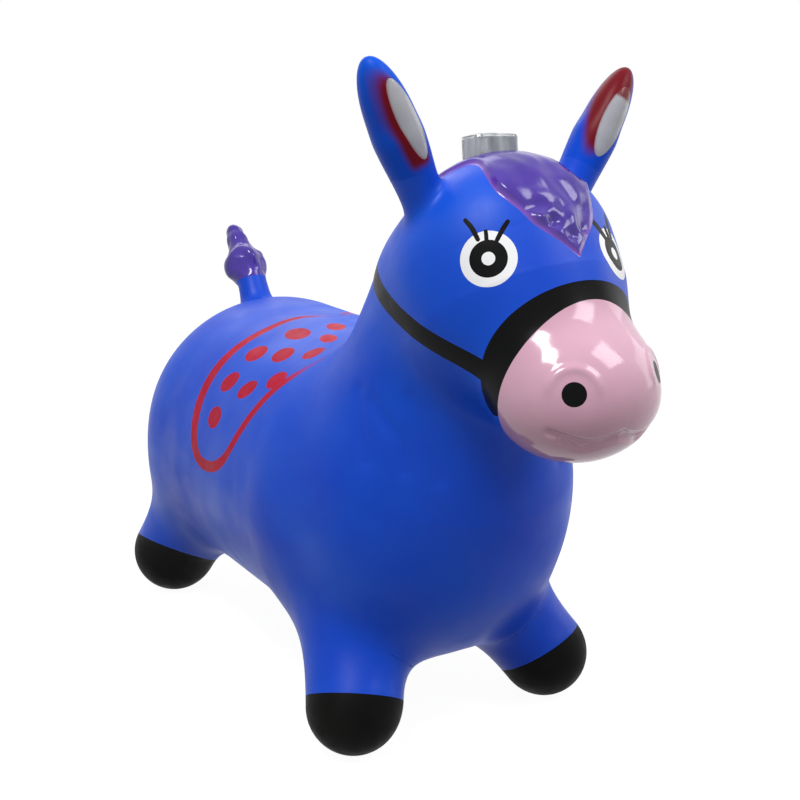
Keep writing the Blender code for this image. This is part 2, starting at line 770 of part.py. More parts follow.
def tail_cutters():
    reach = TAIL_LENGTH + TUFT_OFFSET + TIP_OFFSET + TUFT_RADIUS
    root_end = TAIL_ROOT_START + TAIL_ROOT_LENGTH
    return {
        "all": beyond("tail_all", tail_plane(TAIL_ROOT_START), TAIL_AXIS, reach),
        "root": beyond("tail_root_start", tail_plane(TAIL_ROOT_START + KERF), TAIL_AXIS, reach),
        "free": beyond("tail_free", tail_plane(root_end), TAIL_AXIS, reach),
        "stub": beyond("tail_stub_start", tail_plane(root_end + KERF), TAIL_AXIS, reach),
        "end": beyond("tail_end", tail_plane(TAIL_LENGTH), TAIL_AXIS, reach),
        "tuft": beyond("tail_tuft_start", tail_plane(TAIL_LENGTH + KERF), TAIL_AXIS, reach),
    }


def make_tail(shapes):
    return {
        "root": zone("tail_root", WALL_SOLID, keep=[shapes["root"]], drop=[shapes["free"]]),
        "stub": zone("tail_stub", WALL_SOLID, keep=[shapes["stub"]], drop=[shapes["end"]]),
        "tuft": zone("tail_tuft", WALL_SOLID, keep=[shapes["tuft"]]),
    }


def muzzle_plane(offset):
    """A point and the forward normal of the line where the pink muzzle starts."""
    normal = -np.array((0, math.cos(MUZZLE_LINE_TILT), math.sin(MUZZLE_LINE_TILT)))
    point = MUZZLE.centre + (0, -MUZZLE_LINE_FORWARD, MUZZLE_LINE_RISE)
    return point + normal * offset, normal


def band_mesh(grow):
    """The leaning oval, seen from the side, whose rear edge is the noseband's."""
    point, _ = muzzle_plane(0)
    centre = Matrix.Translation(point + (0, -BAND_FORWARD, BAND_RISE))
    lean = Matrix.Rotation(BAND_LEAN, 4, "X") @ Matrix.Rotation(math.pi / 2, 4, "Y")
    oval = Matrix.Diagonal((BAND_HALF_LENGTH + grow, BAND_HALF_WIDTH + grow, 1, 1))
    half = MUZZLE_HALF_WIDTH + HEAD_HALF_WIDTH
    return rod_mesh(1, -half, half, centre @ lean @ oval)


def face_cutters():
    point, normal = muzzle_plane(0)
    wide_point, _ = muzzle_plane(-KERF)
    return {
        "muzzle": beyond("muzzle_block", point, normal),
        "wide_muzzle": beyond("muzzle_wide_block", wide_point, normal),
        "band": cutter("band_rod", band_mesh(0)),
        "wide_band": cutter("band_wide_rod", band_mesh(KERF)),
    }


def make_muzzle(shapes):
    muzzle = zone("muzzle", WALL_SOLID, keep=[shapes["muzzle"]])
    nostrils = []
    for side in SIDES:
        disc = disc_cutter("nostril", print_spot(MUZZLE.centre, NOSTRIL_PLACES, side), NOSTRIL_RADIUS)
        nostrils.append(zone("nostril_" + side, FILM, keep=[disc]))
    return {"muzzle": muzzle, "nostrils": nostrils}


def print_spot(centre, places, side):
    """The middle of one side's print on the skin, by its turn and rise from a form's centre."""
    turn, rise = places[side]
    return meet(centre, outward(turn * SIDES[side], rise))


def disc_cutter(name, spot, radius):
    frame = facing(spot, normal_at(spot))
    return cutter(name, rod_mesh(radius, -PRINT_REACH, PRINT_REACH, frame))


def make_eyes(shapes):
    """The eyes' prints, which stop where the noseband's passes."""
    whites, irises = [], []
    for side in SIDES:
        spot = print_spot(HEAD.centre, EYE_PLACES, side)
        discs = {name: disc_cutter(name, spot, radius) for name, radius in (
            ("eye", EYE_RADIUS), ("iris_hole", IRIS_RADIUS + KERF), ("iris", IRIS_RADIUS),
            ("dot_hole", DOT_RADIUS + KERF), ("dot", DOT_RADIUS))}
        holes = [discs["iris_hole"], shapes["wide_band"]]
        whites.append(zone("eye_ring_" + side, FILM, keep=[discs["eye"]], drop=holes))
        whites.append(zone("eye_dot_" + side, FILM, keep=[discs["dot"]]))
        irises.append(zone("eye_iris_" + side, FILM, keep=[discs["iris"]], drop=[discs["dot_hole"]]))
    return {"whites": whites, "irises": irises}


def make_bridle(shapes):
    band = zone("noseband_print", FILM, keep=[shapes["band"]], drop=[shapes["wide_muzzle"]])
    across = np.array((0, -math.sin(STRAP_RISE), math.cos(STRAP_RISE)))
    middle = HEAD.centre - (0, 0, STRAP_DROP)
    frame = facing(middle, across)
    corner = Vector((REACH, REACH, STRAP_WIDTH / 2))
    slab = cutter("strap_slab", block_mesh(-corner, corner, frame))
    strap = zone("cheek_strap_print", FILM, keep=[slab], drop=[shapes["wide_band"], shapes["wide_muzzle"]])
    return {"band": band, "strap": strap}


def flat_outline(name, points, low, high, frame=Matrix()):
    """A closed flat outline raised between two heights."""
    curve = bpy.data.curves.new(name, "CURVE")
    curve.dimensions = "2D"
    curve.fill_mode = "BOTH"
    curve.extrude = (high - low) / 2
    line = curve.splines.new("POLY")
    line.use_cyclic_u = True
    line.points.add(len(points) - 1)
    for knot, (x, y) in zip(line.points, points):
        knot.co = (x, y, 0, 1)
    return curve_mesh(curve, Matrix.Translation((0, 0, (low + high) / 2)), frame)


def curve_mesh(curve, *steps):
    """A curve's surface as one closed mesh, moved by each step in turn."""
    item = bpy.data.objects.new(curve.name, curve)
    CUTTERS.objects.link(item)
    mesh = evaluated_mesh(item)
    bpy.data.objects.remove(item)
    bm = bmesh.new()
    bm.from_mesh(mesh)
    bmesh.ops.remove_doubles(bm, verts=bm.verts, dist=MERGE)
    bmesh.ops.recalc_face_normals(bm, faces=bm.faces)
    for step in steps:
        bm.transform(step)
    return mesh_from(bm)


def make_forelock():
    behind = LIGHT_FRAME.translation[1] + LIGHT_LENGTH / 2 + FORELOCK_BEHIND_LIGHT
    front = behind - FORELOCK_LENGTH
    side = [(half * FORELOCK_HALF_WIDTH, front + along * FORELOCK_LENGTH)
            for along, half in FORELOCK_OUTLINE_SHARES]
    points = side + [(-x, y) for x, y in reversed(side[1:])]
    middle = HEAD.centre[2]
    outline = cutter("forelock_outline", flat_outline("forelock", points, middle, middle + REACH))
    hole = light_block("forelock_hole", KERF, -BASE_DEPTH, REACH)
    return zone("forelock", shell("lock_layer", FORELOCK_RISE, KERF), keep=[outline], drop=[hole])


# The light's pocket and the valve's boss

def light_frame():
    """At the skin over the head, with Z along the pocket and X to the left."""
    axis = leaning(LIGHT_TILT)
    mouth = meet(HEAD.centre + (0, LIGHT_BEHIND, 0), axis)
    return Matrix.Translation(mouth) @ Matrix.Rotation(-LIGHT_TILT, 4, "X")


def light_block(name, grow, low, high):
    """A cutter with the light's own plan, grown all round."""
    half_x, half_y = LIGHT_WIDTH / 2 + grow, LIGHT_LENGTH / 2 + grow
    corners = (-half_x, -half_y, low), (half_x, half_y, high)
    return cutter(name, block_mesh(*corners, LIGHT_FRAME, LIGHT_CORNER + grow))


def make_body_skins(legs, ears, tail, face):
    """The torso and the head, divided across the neck, with the valve's boss and the light's pocket."""
    neck = unit(NECK.end - NECK.start)
    drop = [face["wide_muzzle"], ears["all"], twin_cutter(ears["all"]), tail["all"]]
    for shapes in legs.values():
        for name in ("wide_ball", "wide_hoof"):
            drop += [shapes[name], twin_cutter(shapes[name])]
    head_side = beyond("head_side", NECK.point(NECK_DIVISION_SHARE), neck)
    wide_head_side = beyond("wide_head_side", NECK.point(NECK_DIVISION_SHARE) - neck * KERF, neck)
    torso = zone("torso_skin", WALL_SOLID, drop=[*drop, wide_head_side])
    head = zone("head_skin", WALL_SOLID, keep=[head_side], drop=drop)
    middle = level_surface("mid_wall", -WALL / 2)
    boss = cutter("boss", rod_mesh(VALVE_BOSS_RADIUS, -VALVE_BOSS_DEPTH, REACH, VALVE_FRAME))
    combine(torso, combine(boss, middle, "INTERSECT"), "UNION")
    recess = -PLUG_HEAD_THICKNESS - KERF
    bore_low, bore_high = -VALVE_BOSS_DEPTH - OVERRUN, recess + OVERRUN
    bore = rod_mesh(bore_radius(bore_low), bore_low, bore_high, VALVE_FRAME, bore_radius(bore_high))
    recess_rod = rod_mesh(PLUG_HEAD_RADIUS + KERF, recess, REACH, VALVE_FRAME)
    combine(torso, cutter("recess", recess_rod), "DIFFERENCE")
    combine(torso, cutter("bore", bore), "DIFFERENCE")
    depth = BASE_DEPTH + KERF
    pocket = light_block("pocket", KERF + POCKET_WALL, -depth - POCKET_FLOOR, REACH)
    combine(head, combine(pocket, middle, "INTERSECT"), "UNION")
    combine(head, light_block("pocket_hollow", KERF, -depth, REACH), "DIFFERENCE")
    return [torso, head]


def bore_radius(height):
    """The valve's bore narrows on its way in."""
    return VALVE_BORE_RADIUS * (1 + (1 - PLUG_TAPER_SHARE) * height / PLUG_STEM_LENGTH)


def make_plug():
    head_low = -PLUG_HEAD_THICKNESS
    stem_low = head_low - PLUG_STEM_LENGTH
    plug = add("air_plug", rod_mesh(PLUG_HEAD_RADIUS, head_low, 0, VALVE_FRAME), PARTS)
    inside = head_low + PLUG_HEAD_THICKNESS / 2
    stem = cutter("stem", rod_mesh(bore_radius(stem_low) - KERF, stem_low, inside, VALVE_FRAME,
                                   bore_radius(inside) - KERF))
    half = Vector((PLUG_TAB_WIDTH / 2, PLUG_TAB_LENGTH / 2, 0))
    tab = cutter("tab", block_mesh(-half + Vector((0, 0, -PLUG_HEAD_THICKNESS / 2)),
                                   half + Vector((0, 0, PLUG_TAB_DEPTH)), VALVE_FRAME))
    combine(plug, stem, "UNION")
    combine(plug, tab, "UNION")
    return plug


# The light unit, in its own frame

def light_solid(name, mesh):
    mesh.transform(LIGHT_FRAME)
    return add(name, mesh, PARTS)


def light_turned(name, profile, place):
    """A small turned piece, standing at a place in the light's plan."""
    return turned(name, profile, LIGHT_FRAME @ Matrix.Translation((*place, 0)), PARTS, SMALL_SEGMENTS)


def plan_block(half_x, half_y, low, high, corner=0.0, edge=0.0, centre=(0, 0)):
    x, y = centre
    return block_mesh((x - half_x, y - half_y, low), (x + half_x, y + half_y, high), corner=corner, edge=edge)


def light_cut(mesh):
    mesh.transform(LIGHT_FRAME)
    return cutter("light_cut", mesh)


def spot(shares):
    """A place on the board, as shares of its half sizes."""
    return (shares[0] * BOARD_HALF_WIDTH, shares[1] * BOARD_HALF_LENGTH)


def make_cap():
    cap = light_solid("light_cap", plan_block(LIGHT_WIDTH / 2, LIGHT_LENGTH / 2, -SPLIT_DEPTH, CAP_HEIGHT,
                                              LIGHT_CORNER, LIGHT_EDGE))
    inside = plan_block(LIGHT_WIDTH / 2 - CAP_WALL, LIGHT_LENGTH / 2 - CAP_WALL, -SPLIT_DEPTH - OVERRUN,
                        CAP_HEIGHT - CAP_WALL, LIGHT_CORNER - CAP_WALL, LIGHT_EDGE - CAP_WALL / 2)
    combine(cap, light_cut(inside), "DIFFERENCE")
    hole = rod_mesh(BUTTON_RADIUS + KERF, CAP_HEIGHT - CAP_WALL - OVERRUN, CAP_HEIGHT + OVERRUN)
    return combine(cap, light_cut(hole), "DIFFERENCE")


def screw_spots():
    return [(sign * SCREW_OUT, 0) for sign in SIDES.values()]


def make_base():
    block = plan_block(LIGHT_WIDTH / 2, LIGHT_LENGTH / 2, -BASE_DEPTH, BASE_TOP, LIGHT_CORNER)
    base = light_solid("light_base", block)
    door_top = -BASE_DEPTH + DOOR_THICKNESS + KERF
    cuts = [
        plan_block(BOARD_HALF_WIDTH + KERF, BOARD_HALF_LENGTH + KERF, BOARD_SEAT, BASE_TOP + OVERRUN,
                   LIGHT_CORNER - BASE_WALL),
        plan_block(CAVITY_HALF_WIDTH, CELL_RADIUS + KERF, -BASE_DEPTH - OVERRUN, BOARD_SEAT - WEB),
        plan_block(DOOR_WIDTH / 2 + KERF, DOOR_LENGTH / 2 + KERF, -BASE_DEPTH - OVERRUN, door_top,
                   DOOR_CORNER + KERF),
    ]
    for side in SIDES.values():
        middle = (side * CONTACT_MIDDLE, 0)
        cuts.append(plan_block(CONTACT_THICKNESS / 2 + KERF, CONTACT_TAIL_WIDTH / 2 + KERF,
                               BOARD_SEAT - WEB - OVERRUN, BOARD_SEAT + OVERRUN, centre=middle))
    for x, y in screw_spots():
        hole = rod_mesh(SCREW_RADIUS + KERF, -BASE_DEPTH - OVERRUN,
                        -BASE_DEPTH + SCREW_HEAD_THICKNESS + SCREW_LENGTH + KERF * 2, segments=SMALL_SEGMENTS)
        hole.transform(Matrix.Translation((x, y, 0)))
        cuts.append(hole)
    for mesh in cuts:
        combine(base, light_cut(mesh), "DIFFERENCE")
    return base


def make_door():
    door = light_solid("battery_door", plan_block(DOOR_WIDTH / 2, DOOR_LENGTH / 2, -BASE_DEPTH,
                                                  -BASE_DEPTH + DOOR_THICKNESS, DOOR_CORNER))
    sink = SCREW_HEAD_THICKNESS + KERF * 2
    for x, y in screw_spots():
        for radius, top in ((SCREW_HEAD_RADIUS + KERF, sink), (SCREW_RADIUS + KERF, OVERRUN)):
            hole = rod_mesh(radius, -BASE_DEPTH - OVERRUN, -BASE_DEPTH + top, segments=SMALL_SEGMENTS)
            hole.transform(Matrix.Translation((x, y, 0)))
            combine(door, light_cut(hole), "DIFFERENCE")
    return door


def make_screws():
    low = -BASE_DEPTH + KERF
    shoulder = low + SCREW_HEAD_THICKNESS
    top = shoulder + SCREW_LENGTH
    profile = ((0, top), (SCREW_RADIUS, top), (SCREW_RADIUS, shoulder), (SCREW_HEAD_RADIUS, shoulder),
               (SCREW_HEAD_RADIUS, low), (0, low))
    return [light_turned("door_screw_" + side, profile, place) for side, place in zip(SIDES, screw_spots())]


def make_cells():
    cells = []
    for index in range(CELL_COUNT):
        middle = (index - (CELL_COUNT - 1) / 2) * (CELL_THICKNESS + KERF)
        frame = facing((middle, 0, CELL_HEIGHT), (1, 0, 0))
        mesh = rod_mesh(CELL_RADIUS, -CELL_THICKNESS / 2, CELL_THICKNESS / 2, frame)
        cells.append(light_solid("button_cell_" + str(index + 1), mesh))
    return cells


def make_contacts():
    low = CELL_HEIGHT - CELL_RADIUS
    shoulder = BOARD_SEAT - WEB - KERF
    half, tail = CONTACT_WIDTH / 2, CONTACT_TAIL_WIDTH / 2
    outline = ((-half, low), (half, low), (half, shoulder), (tail, shoulder), (tail, BOARD_SEAT),
               (-tail, BOARD_SEAT), (-tail, shoulder), (-half, shoulder))
    upright = Matrix(((0, 0, 1, 0), (1, 0, 0, 0), (0, 1, 0, 0), (0, 0, 0, 1)))
    contacts = []
    for side, sign in SIDES.items():
        frame = Matrix.Translation((sign * CONTACT_MIDDLE, 0, 0)) @ upright
        mesh = flat_outline("contact", outline, -CONTACT_THICKNESS / 2, CONTACT_THICKNESS / 2, frame)
        contacts.append(light_solid("battery_contact_" + side, mesh))
    return contacts


def make_board_parts():
    top = BOARD_SEAT + KERF + BOARD_THICKNESS
    rest = top + KERF
    board = plan_block(BOARD_HALF_WIDTH, BOARD_HALF_LENGTH, top - BOARD_THICKNESS, top,
                       LIGHT_CORNER - BASE_WALL - KERF)
    board = light_solid("circuit_board", board)
    half = Vector(CHIP_SIZE) / 2
    chip = light_solid("flasher_chip", plan_block(half.x, half.y, rest, rest + CHIP_SIZE[2], edge=half.z / 2,
                                                  centre=spot(CHIP_SPOT_SHARES)))
    lamps = make_lamps(rest)
    switch_top = rest + SWITCH_HEIGHT
    switch = light_solid("press_switch", plan_block(SWITCH_SIZE / 2, SWITCH_SIZE / 2, rest, switch_top))
    plunger_low = switch_top - PLUNGER_HEIGHT / 2
    well = rod_mesh(PLUNGER_RADIUS + KERF, plunger_low - PRESS_TRAVEL - KERF, switch_top + OVERRUN,
                    segments=SMALL_SEGMENTS)
    combine(switch, light_cut(well), "DIFFERENCE")
    plunger_top = switch_top + PLUNGER_HEIGHT
    plunger = rod_mesh(PLUNGER_RADIUS, plunger_low, plunger_top, segments=SMALL_SEGMENTS)
    plunger = light_solid("switch_plunger", plunger)
    pin = rod_mesh(SHAKE_PIN_RADIUS, rest, rest + SHAKE_PIN_HEIGHT, segments=SMALL_SEGMENTS // 2)
    pin.transform(Matrix.Translation((*spot(SHAKE_SPOT_SHARES), 0)))
    pin = light_solid("shake_pin", pin)
    return {"board": board, "chip": chip, "lamps": lamps, "switch": switch, "plunger": plunger, "pin": pin,
            "spring": make_shake_spring(rest), "button": make_button(plunger_top + KERF)}


def make_lamps(rest):
    shoulder = rest + LAMP_HEIGHT - LAMP_RADIUS
    dome = [(LAMP_RADIUS * math.sin(turn), shoulder + LAMP_RADIUS * math.cos(turn))
            for turn in np.linspace(0, math.pi / 2, LAMP_DOME_STEPS)]
    profile = (*dome, (LAMP_RADIUS, rest), (0, rest))
    return [light_turned("lamp_" + name, profile, spot(shares)) for name, shares in LAMP_SPOTS_SHARES.items()]


def make_shake_spring(rest):
    x, y = spot(SHAKE_SPOT_SHARES)
    low, high = rest + SHAKE_WIRE_RADIUS, rest + SHAKE_HEIGHT
    count = SHAKE_TURNS * SHAKE_POINTS_PER_TURN
    curve = bpy.data.curves.new("shake_spring", "CURVE")
    curve.dimensions = "3D"
    curve.bevel_depth = SHAKE_WIRE_RADIUS
    curve.bevel_resolution = 1
    curve.use_fill_caps = True
    line = curve.splines.new("POLY")
    line.points.add(count)
    for index, knot in enumerate(line.points):
        turn = 2 * math.pi * index / SHAKE_POINTS_PER_TURN
        knot.co = (x + SHAKE_COIL_RADIUS * math.cos(turn), y + SHAKE_COIL_RADIUS * math.sin(turn),
                   low + (high - low) * index / count, 1)
    return light_solid("shake_spring", curve_mesh(curve))


def make_button(stem_low):
    rim_top = CAP_HEIGHT - CAP_WALL - KERF
    rim_low = rim_top - BUTTON_RIM_THICKNESS
    top = CAP_HEIGHT + BUTTON_RISE
    profile = ((0, top), (BUTTON_RADIUS - BUTTON_RISE, top), (BUTTON_RADIUS, CAP_HEIGHT),
               (BUTTON_RADIUS, rim_top), (BUTTON_RADIUS + BUTTON_RIM, rim_top),
               (BUTTON_RADIUS + BUTTON_RIM, rim_low),
               (BUTTON_STEM_RADIUS, rim_low), (BUTTON_STEM_RADIUS, stem_low), (0, stem_low))
    return turned("light_button", profile, LIGHT_FRAME, PARTS)


# Assembly

def ear_hinge(side):
    """In the middle of the ear's root, with Z along the hinge: a positive turn nods the ear forward."""
    sign = SIDES[side]
    middle = ear_plane(EAR_ROOT_START + EAR_ROOT_LENGTH / 2)
    return facing(middle * (sign, 1, 1), EAR_SIDE * (-1, -sign, -sign))


def empty(name, matrix, parent=None):
    item = bpy.data.objects.new(name, None)
    item.empty_display_size = OVERRUN
    PARTS.objects.link(item)
    item.matrix_world = matrix
    hang(item, parent)
    return item


def hang(item, parent):
    """Parents an object where it is."""
    if parent:
        bpy.context.view_layer.update()
        item.parent = parent
        item.matrix_parent_inverse = parent.matrix_world.inverted()


def finish(items, colour, parent):
    """Gives pieces their material and smooth shading and hangs them on a joint's empty."""
    for item in items:
        item.data.materials.clear()
        item.data.materials.append(MATERIALS[colour])
        item.data.shade_smooth()
        item.data.set_sharp_from_angle(angle=SHARP_ANGLE)
        hang(item, parent)


clear_scene()
PARTS = collection("hopping_animal")
CUTTERS = collection("cutters")
MATERIALS = make_materials()
LIGHT_FRAME = light_frame()
VALVE_FRAME = facing(meet((0, VALVE_BACK, BARREL_HEIGHT), np.array((0, 0, -1))), (0, 0, -1))
BASE = make_skin_mesh()
WALL_SOLID = make_wall()
FILM = shell("print_layer", KERF + PRINT_THICKNESS, KERF)


def main():
    leg_shapes = {end: leg_cutters(end) for end in LEGS}
    ear_shapes, tail_shapes, face_shapes = ear_cutters(), tail_cutters(), face_cutters()
    legs, ears, tail = make_legs(leg_shapes), make_ears(ear_shapes), make_tail(tail_shapes)
    skins = make_body_skins(leg_shapes, ear_shapes, tail_shapes, face_shapes)
    face, eyes, bridle = make_muzzle(face_shapes), make_eyes(face_shapes), make_bridle(face_shapes)
    forelock, plug = make_forelock(), make_plug()
    cap, base, door, screws = make_cap(), make_base(), make_door(), make_screws()
    cells, contacts, inner = make_cells(), make_contacts(), make_board_parts()

    feet = empty("feet", Matrix())
    body_frame = empty("bounce", Matrix(), feet)
    for shapes in legs.values():
        finish(shapes["hooves"], "hoof", feet)
        finish(shapes["legs"], "blue", feet)
    finish([*skins, *ears["roots"], tail["root"]], "blue", body_frame)
    finish([face["muzzle"]], "pink", body_frame)
    finish([forelock], "purple", body_frame)
    finish([bridle["band"], bridle["strap"], *eyes["irises"], *face["nostrils"]], "band", body_frame)
    finish(eyes["whites"], "white", body_frame)
    for index, side in enumerate(SIDES):
        hinge = empty("ear_" + side + "_flex", ear_hinge(side), body_frame)
        finish([ears["leaves"][index]], "blue", hinge)
        finish([ears["linings"][index]], "lining", hinge)
    tail_middle = tail_plane(TAIL_ROOT_START + TAIL_ROOT_LENGTH / 2)
    tail_hinge = empty("tail_flex", facing(tail_middle, (1, 0, 0)), body_frame)
    finish([tail["stub"]], "blue", tail_hinge)
    finish([tail["tuft"]], "purple", tail_hinge)
    finish([plug], "plug", empty("plug_pull", VALVE_FRAME, body_frame))
    light = empty("light_lift", LIGHT_FRAME, body_frame)
    finish([cap], "clear", light)
    finish([base, door], "grey", light)
    finish([*screws, *cells, *contacts, inner["pin"], inner["switch"]], "steel", light)
    finish([inner["board"]], "board", light)
    finish([inner["chip"]], "chip", light)
    finish(inner["lamps"], "lamp", light)
    finish([inner["button"], inner["plunger"]], "clear", empty("button_press", LIGHT_FRAME, light))
    foot = LIGHT_FRAME @ Matrix.Translation((*spot(SHAKE_SPOT_SHARES), BOARD_SEAT + BOARD_THICKNESS))
    finish([inner["spring"]], "steel", empty("shake_sway", foot, light))


main()
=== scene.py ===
"""Looks for the inflatable hopping animal.

The smooth skin is the zero of the same distance field that the CAD part is meshed from,
meshed finely here and divided exactly where the colour changes. Metres, +Z up. The
animal faces -Y and its right side, at -X, is the one in the photograph.
"""

from math import cos, pi, radians, sin, tan

import bmesh
import bpy
import numpy as np
from mathutils import Matrix, Vector, noise


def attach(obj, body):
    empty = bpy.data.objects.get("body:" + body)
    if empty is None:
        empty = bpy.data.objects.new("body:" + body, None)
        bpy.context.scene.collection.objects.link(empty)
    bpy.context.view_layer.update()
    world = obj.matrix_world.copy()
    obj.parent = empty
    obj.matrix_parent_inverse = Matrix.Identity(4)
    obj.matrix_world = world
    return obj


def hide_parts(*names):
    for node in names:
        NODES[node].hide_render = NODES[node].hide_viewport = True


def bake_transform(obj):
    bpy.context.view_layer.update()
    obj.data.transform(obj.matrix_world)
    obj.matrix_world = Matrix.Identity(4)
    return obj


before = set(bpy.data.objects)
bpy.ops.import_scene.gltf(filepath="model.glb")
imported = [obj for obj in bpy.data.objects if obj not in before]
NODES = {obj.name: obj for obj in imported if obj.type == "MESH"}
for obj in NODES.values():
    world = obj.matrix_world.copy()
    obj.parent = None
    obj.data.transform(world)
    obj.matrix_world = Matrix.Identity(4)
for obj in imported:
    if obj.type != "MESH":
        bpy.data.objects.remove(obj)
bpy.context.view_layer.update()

# The form, in the CAD part's own sizes: across, back and up
RUMP_CENTRE = (0, 0.1945, 0.170)
RUMP_HALVES = (0.125, 0.0855, 0.1215)
BARREL_FRONT = (0, -0.019, 0.166)
BARREL_BACK = (0, 0.128, 0.166)
BARREL_RADIUS = 0.126
CHEST_CENTRE = (0, -0.1025, 0.1715)
CHEST_HALVES = (0.1025, 0.074, 0.1145)
TORSO_BLEND = 0.0475
NECK_BASE = (0, -0.088, 0.2165)
NECK_BASE_RADIUS = 0.091
NECK_TOP = (0, -0.132, 0.330)
NECK_TOP_RADIUS = 0.070
HEAD_CENTRE = (0, -0.1725, 0.354)
HEAD_HALVES = (0.074, 0.0615, 0.073)
BROW_SHARE = 0.8
SNOUT_END = (0, -0.189, 0.329)
SNOUT_RADIUS = 0.0655
MUZZLE_CENTRE = (0, -0.247, 0.2865)
MUZZLE_HALVES = (0.0565, 0.048, 0.0455)
SNOUT_BLEND = 0.0485
MUZZLE_BLEND = 0.042
NECK_BLEND = 0.045
EAR_SEAT_SHARES = (0.91, 0.18, 0.87)
EAR_LEAN_OUT = radians(27.8)
EAR_LEAN_FORWARD = radians(4.2)
EAR_TURN_IN = radians(26.8)
EAR_LENGTH = 0.0675
EAR_CROWN = 0.012
EAR_HALF_WIDTH = 0.0144
EAR_HALF_DEPTH = 0.0172
EAR_STEM_RADIUS = 0.0143
EAR_STEM_DEPTH = 0.025
EAR_STEM_SHARE = 0.35
EAR_STEM_TAPER_SHARE = 0.9
EAR_LEAF_BLEND = 0.014
EAR_BLEND = 0.012
EAR_ROOT_START = 0.004
EAR_ROOT_LENGTH = 0.013
# Each leg: its hip's place and radius, its foot's place on the floor and its radius
LEG_SIZES = {"front": ((0.0585, -0.0525, 0.095), 0.033, (0.088, -0.114), 0.0355),
             "rear": ((0.0685, 0.207, 0.118), 0.037, (0.088, 0.2535), 0.040)}
LEG_BLEND = 0.067
SOLE_DEPTH = 0.0016
LEG_ZONE_RADIUS = 0.095
LEG_ZONE_SHARE = 0.35
# A direction for each leg, from its hoof inward and up, along which the span between the hoof's edge and the
# leg zone's edge is found
LEG_FLEX_SHARES = {"front": (-0.6, 0.36, 0.71), "rear": (-0.57, -0.46, 0.68)}
HOOF_RISES = {"front": 0.005, "rear": 0.004}
HOOF_NORMAL_SHARES = {"front": (0.33, -0.45, -0.83), "rear": (0.44, -0.09, -0.89)}
TAIL_SEAT_SHARES = (0.352, 0.782)
TAIL_LEAN = radians(26.6)
TAIL_LENGTH = 0.0447
TAIL_BASE_RADIUS = 0.0168
TAIL_END_RADIUS = 0.0137
TUFT_LEAN = radians(46.8)
TUFT_OFFSET = 0.0175
TUFT_RADIUS = 0.020
TUFT_NECK_SHARE = 0.8
TIP_LEAN = radians(38.4)
TIP_OFFSET = 0.040
TIP_RADIUS = 0.0091
TAIL_BLEND = 0.018
TUFT_BLEND = 0.010
TIP_BLEND = 0.008
TAIL_ROOT_START = 0.023

# Where the colours change
MUZZLE_LINE_FORWARD = 0.0033
MUZZLE_LINE_RISE = 0.0314
MUZZLE_LINE_TILT = radians(14.8)
BAND_HALF_LENGTH = 0.067
BAND_HALF_WIDTH = 0.0231
BAND_LEAN = radians(32.7)
BAND_FORWARD = 0.013
BAND_RISE = 0.0135
STRAP_WIDTH = 0.014
STRAP_DROP = 0.0313
STRAP_RISE = radians(22.3)
# Each print's turn out and rise from its form's centre, in degrees
EYE_PLACES = {"left": (31.9, 11.4), "right": (46.2, 11.9)}
EYE_RADIUS = 0.0176
IRIS_RADIUS = 0.0118
DOT_RADIUS = 0.0042
NOSTRIL_PLACES = {"left": (50, 15), "right": (41.8, 9.1)}
NOSTRIL_RADIUS = 0.0076
# Each ear's lining: half its width and length
EAR_LININGS = {"left": (0.0085, 0.026), "right": (0.0072, 0.027)}
EAR_LINING_SHARE = 0.56
EAR_LINING_OUT_SHARE = 0.24
FORELOCK_BEHIND_LIGHT = 0.0185
FORELOCK_LENGTH = 0.1243
FORELOCK_HALF_WIDTH = 0.045
FORELOCK_RISE = 0.0025
FORELOCK_OUTLINE_SHARES = (
    (0, 0), (0.045, 0.18), (0.107, 0.43), (0.171, 0.6), (0.3, 0.8), (0.42, 0.77), (0.52, 0.69), (0.61, 0.69),
    (0.69, 0.86), (0.76, 0.96), (0.84, 0.86), (0.93, 0.58), (0.985, 0.27), (1, 0))
LIGHT_BEHIND = 0.0137
LIGHT_TILT = radians(6)
LIGHT_WIDTH = 0.0345
LIGHT_LENGTH = 0.022
LIGHT_CORNER = 0.0045
POCKET_DEPTH = 0.0205
VALVE_BACK = 0.0485
PLUG_HEAD_RADIUS = 0.0095
PLUG_RECESS = 0.0019
VALVE_BORE_RADIUS = 0.0044
VALVE_BORE_END_RADIUS = 0.0039
VALVE_BORE_DEPTH = 0.010
KERF = 0.0003
MIDDLE_STRIP = 0.002

# Prints on the skin: lashes, away from the nose and up from the eye, and the ornament on each flank,
# placed by a turn down from the back, in degrees, and a distance behind the origin
LASH_STROKES = (
    (((0.0166, 0.0245), (0.0118, 0.0192), (0.0073, 0.0118)), (0.0027, 0.0031, 0.0031, 0.0028)),
    (((-0.0104, 0.0245), (-0.0074, 0.0188), (-0.0044, 0.0118)), (0.0027, 0.0031, 0.0031, 0.0028)),
    (((0.0029, 0.0172), (0.0024, 0.0145), (0.0020, 0.0115)), (0.0024, 0.0026, 0.0026)),
)
LASH_WIDTH_SHARES = {"left": 1.8, "right": 1}
FLANK_OUTLINE = (
    (0, 0.0625), (11, 0.0905), (25, 0.0985), (38, 0.1065), (49, 0.1095), (61, 0.1075), (72, 0.1015),
    (80, 0.0925), (84, 0.0785), (84, 0.0585), (81, 0.0405), (75, 0.0265), (63, 0.0135), (49, 0.0005),
    (41, -0.0105), (33, -0.0235), (28, -0.0335))
FLANK_WIDTHS = (0.002, 0.008, 0.011, 0.012, 0.013, 0.013, 0.013, 0.012, 0.01, 0.009, 0.009, 0.008, 0.008,
                0.008, 0.007, 0.005, 0.002)
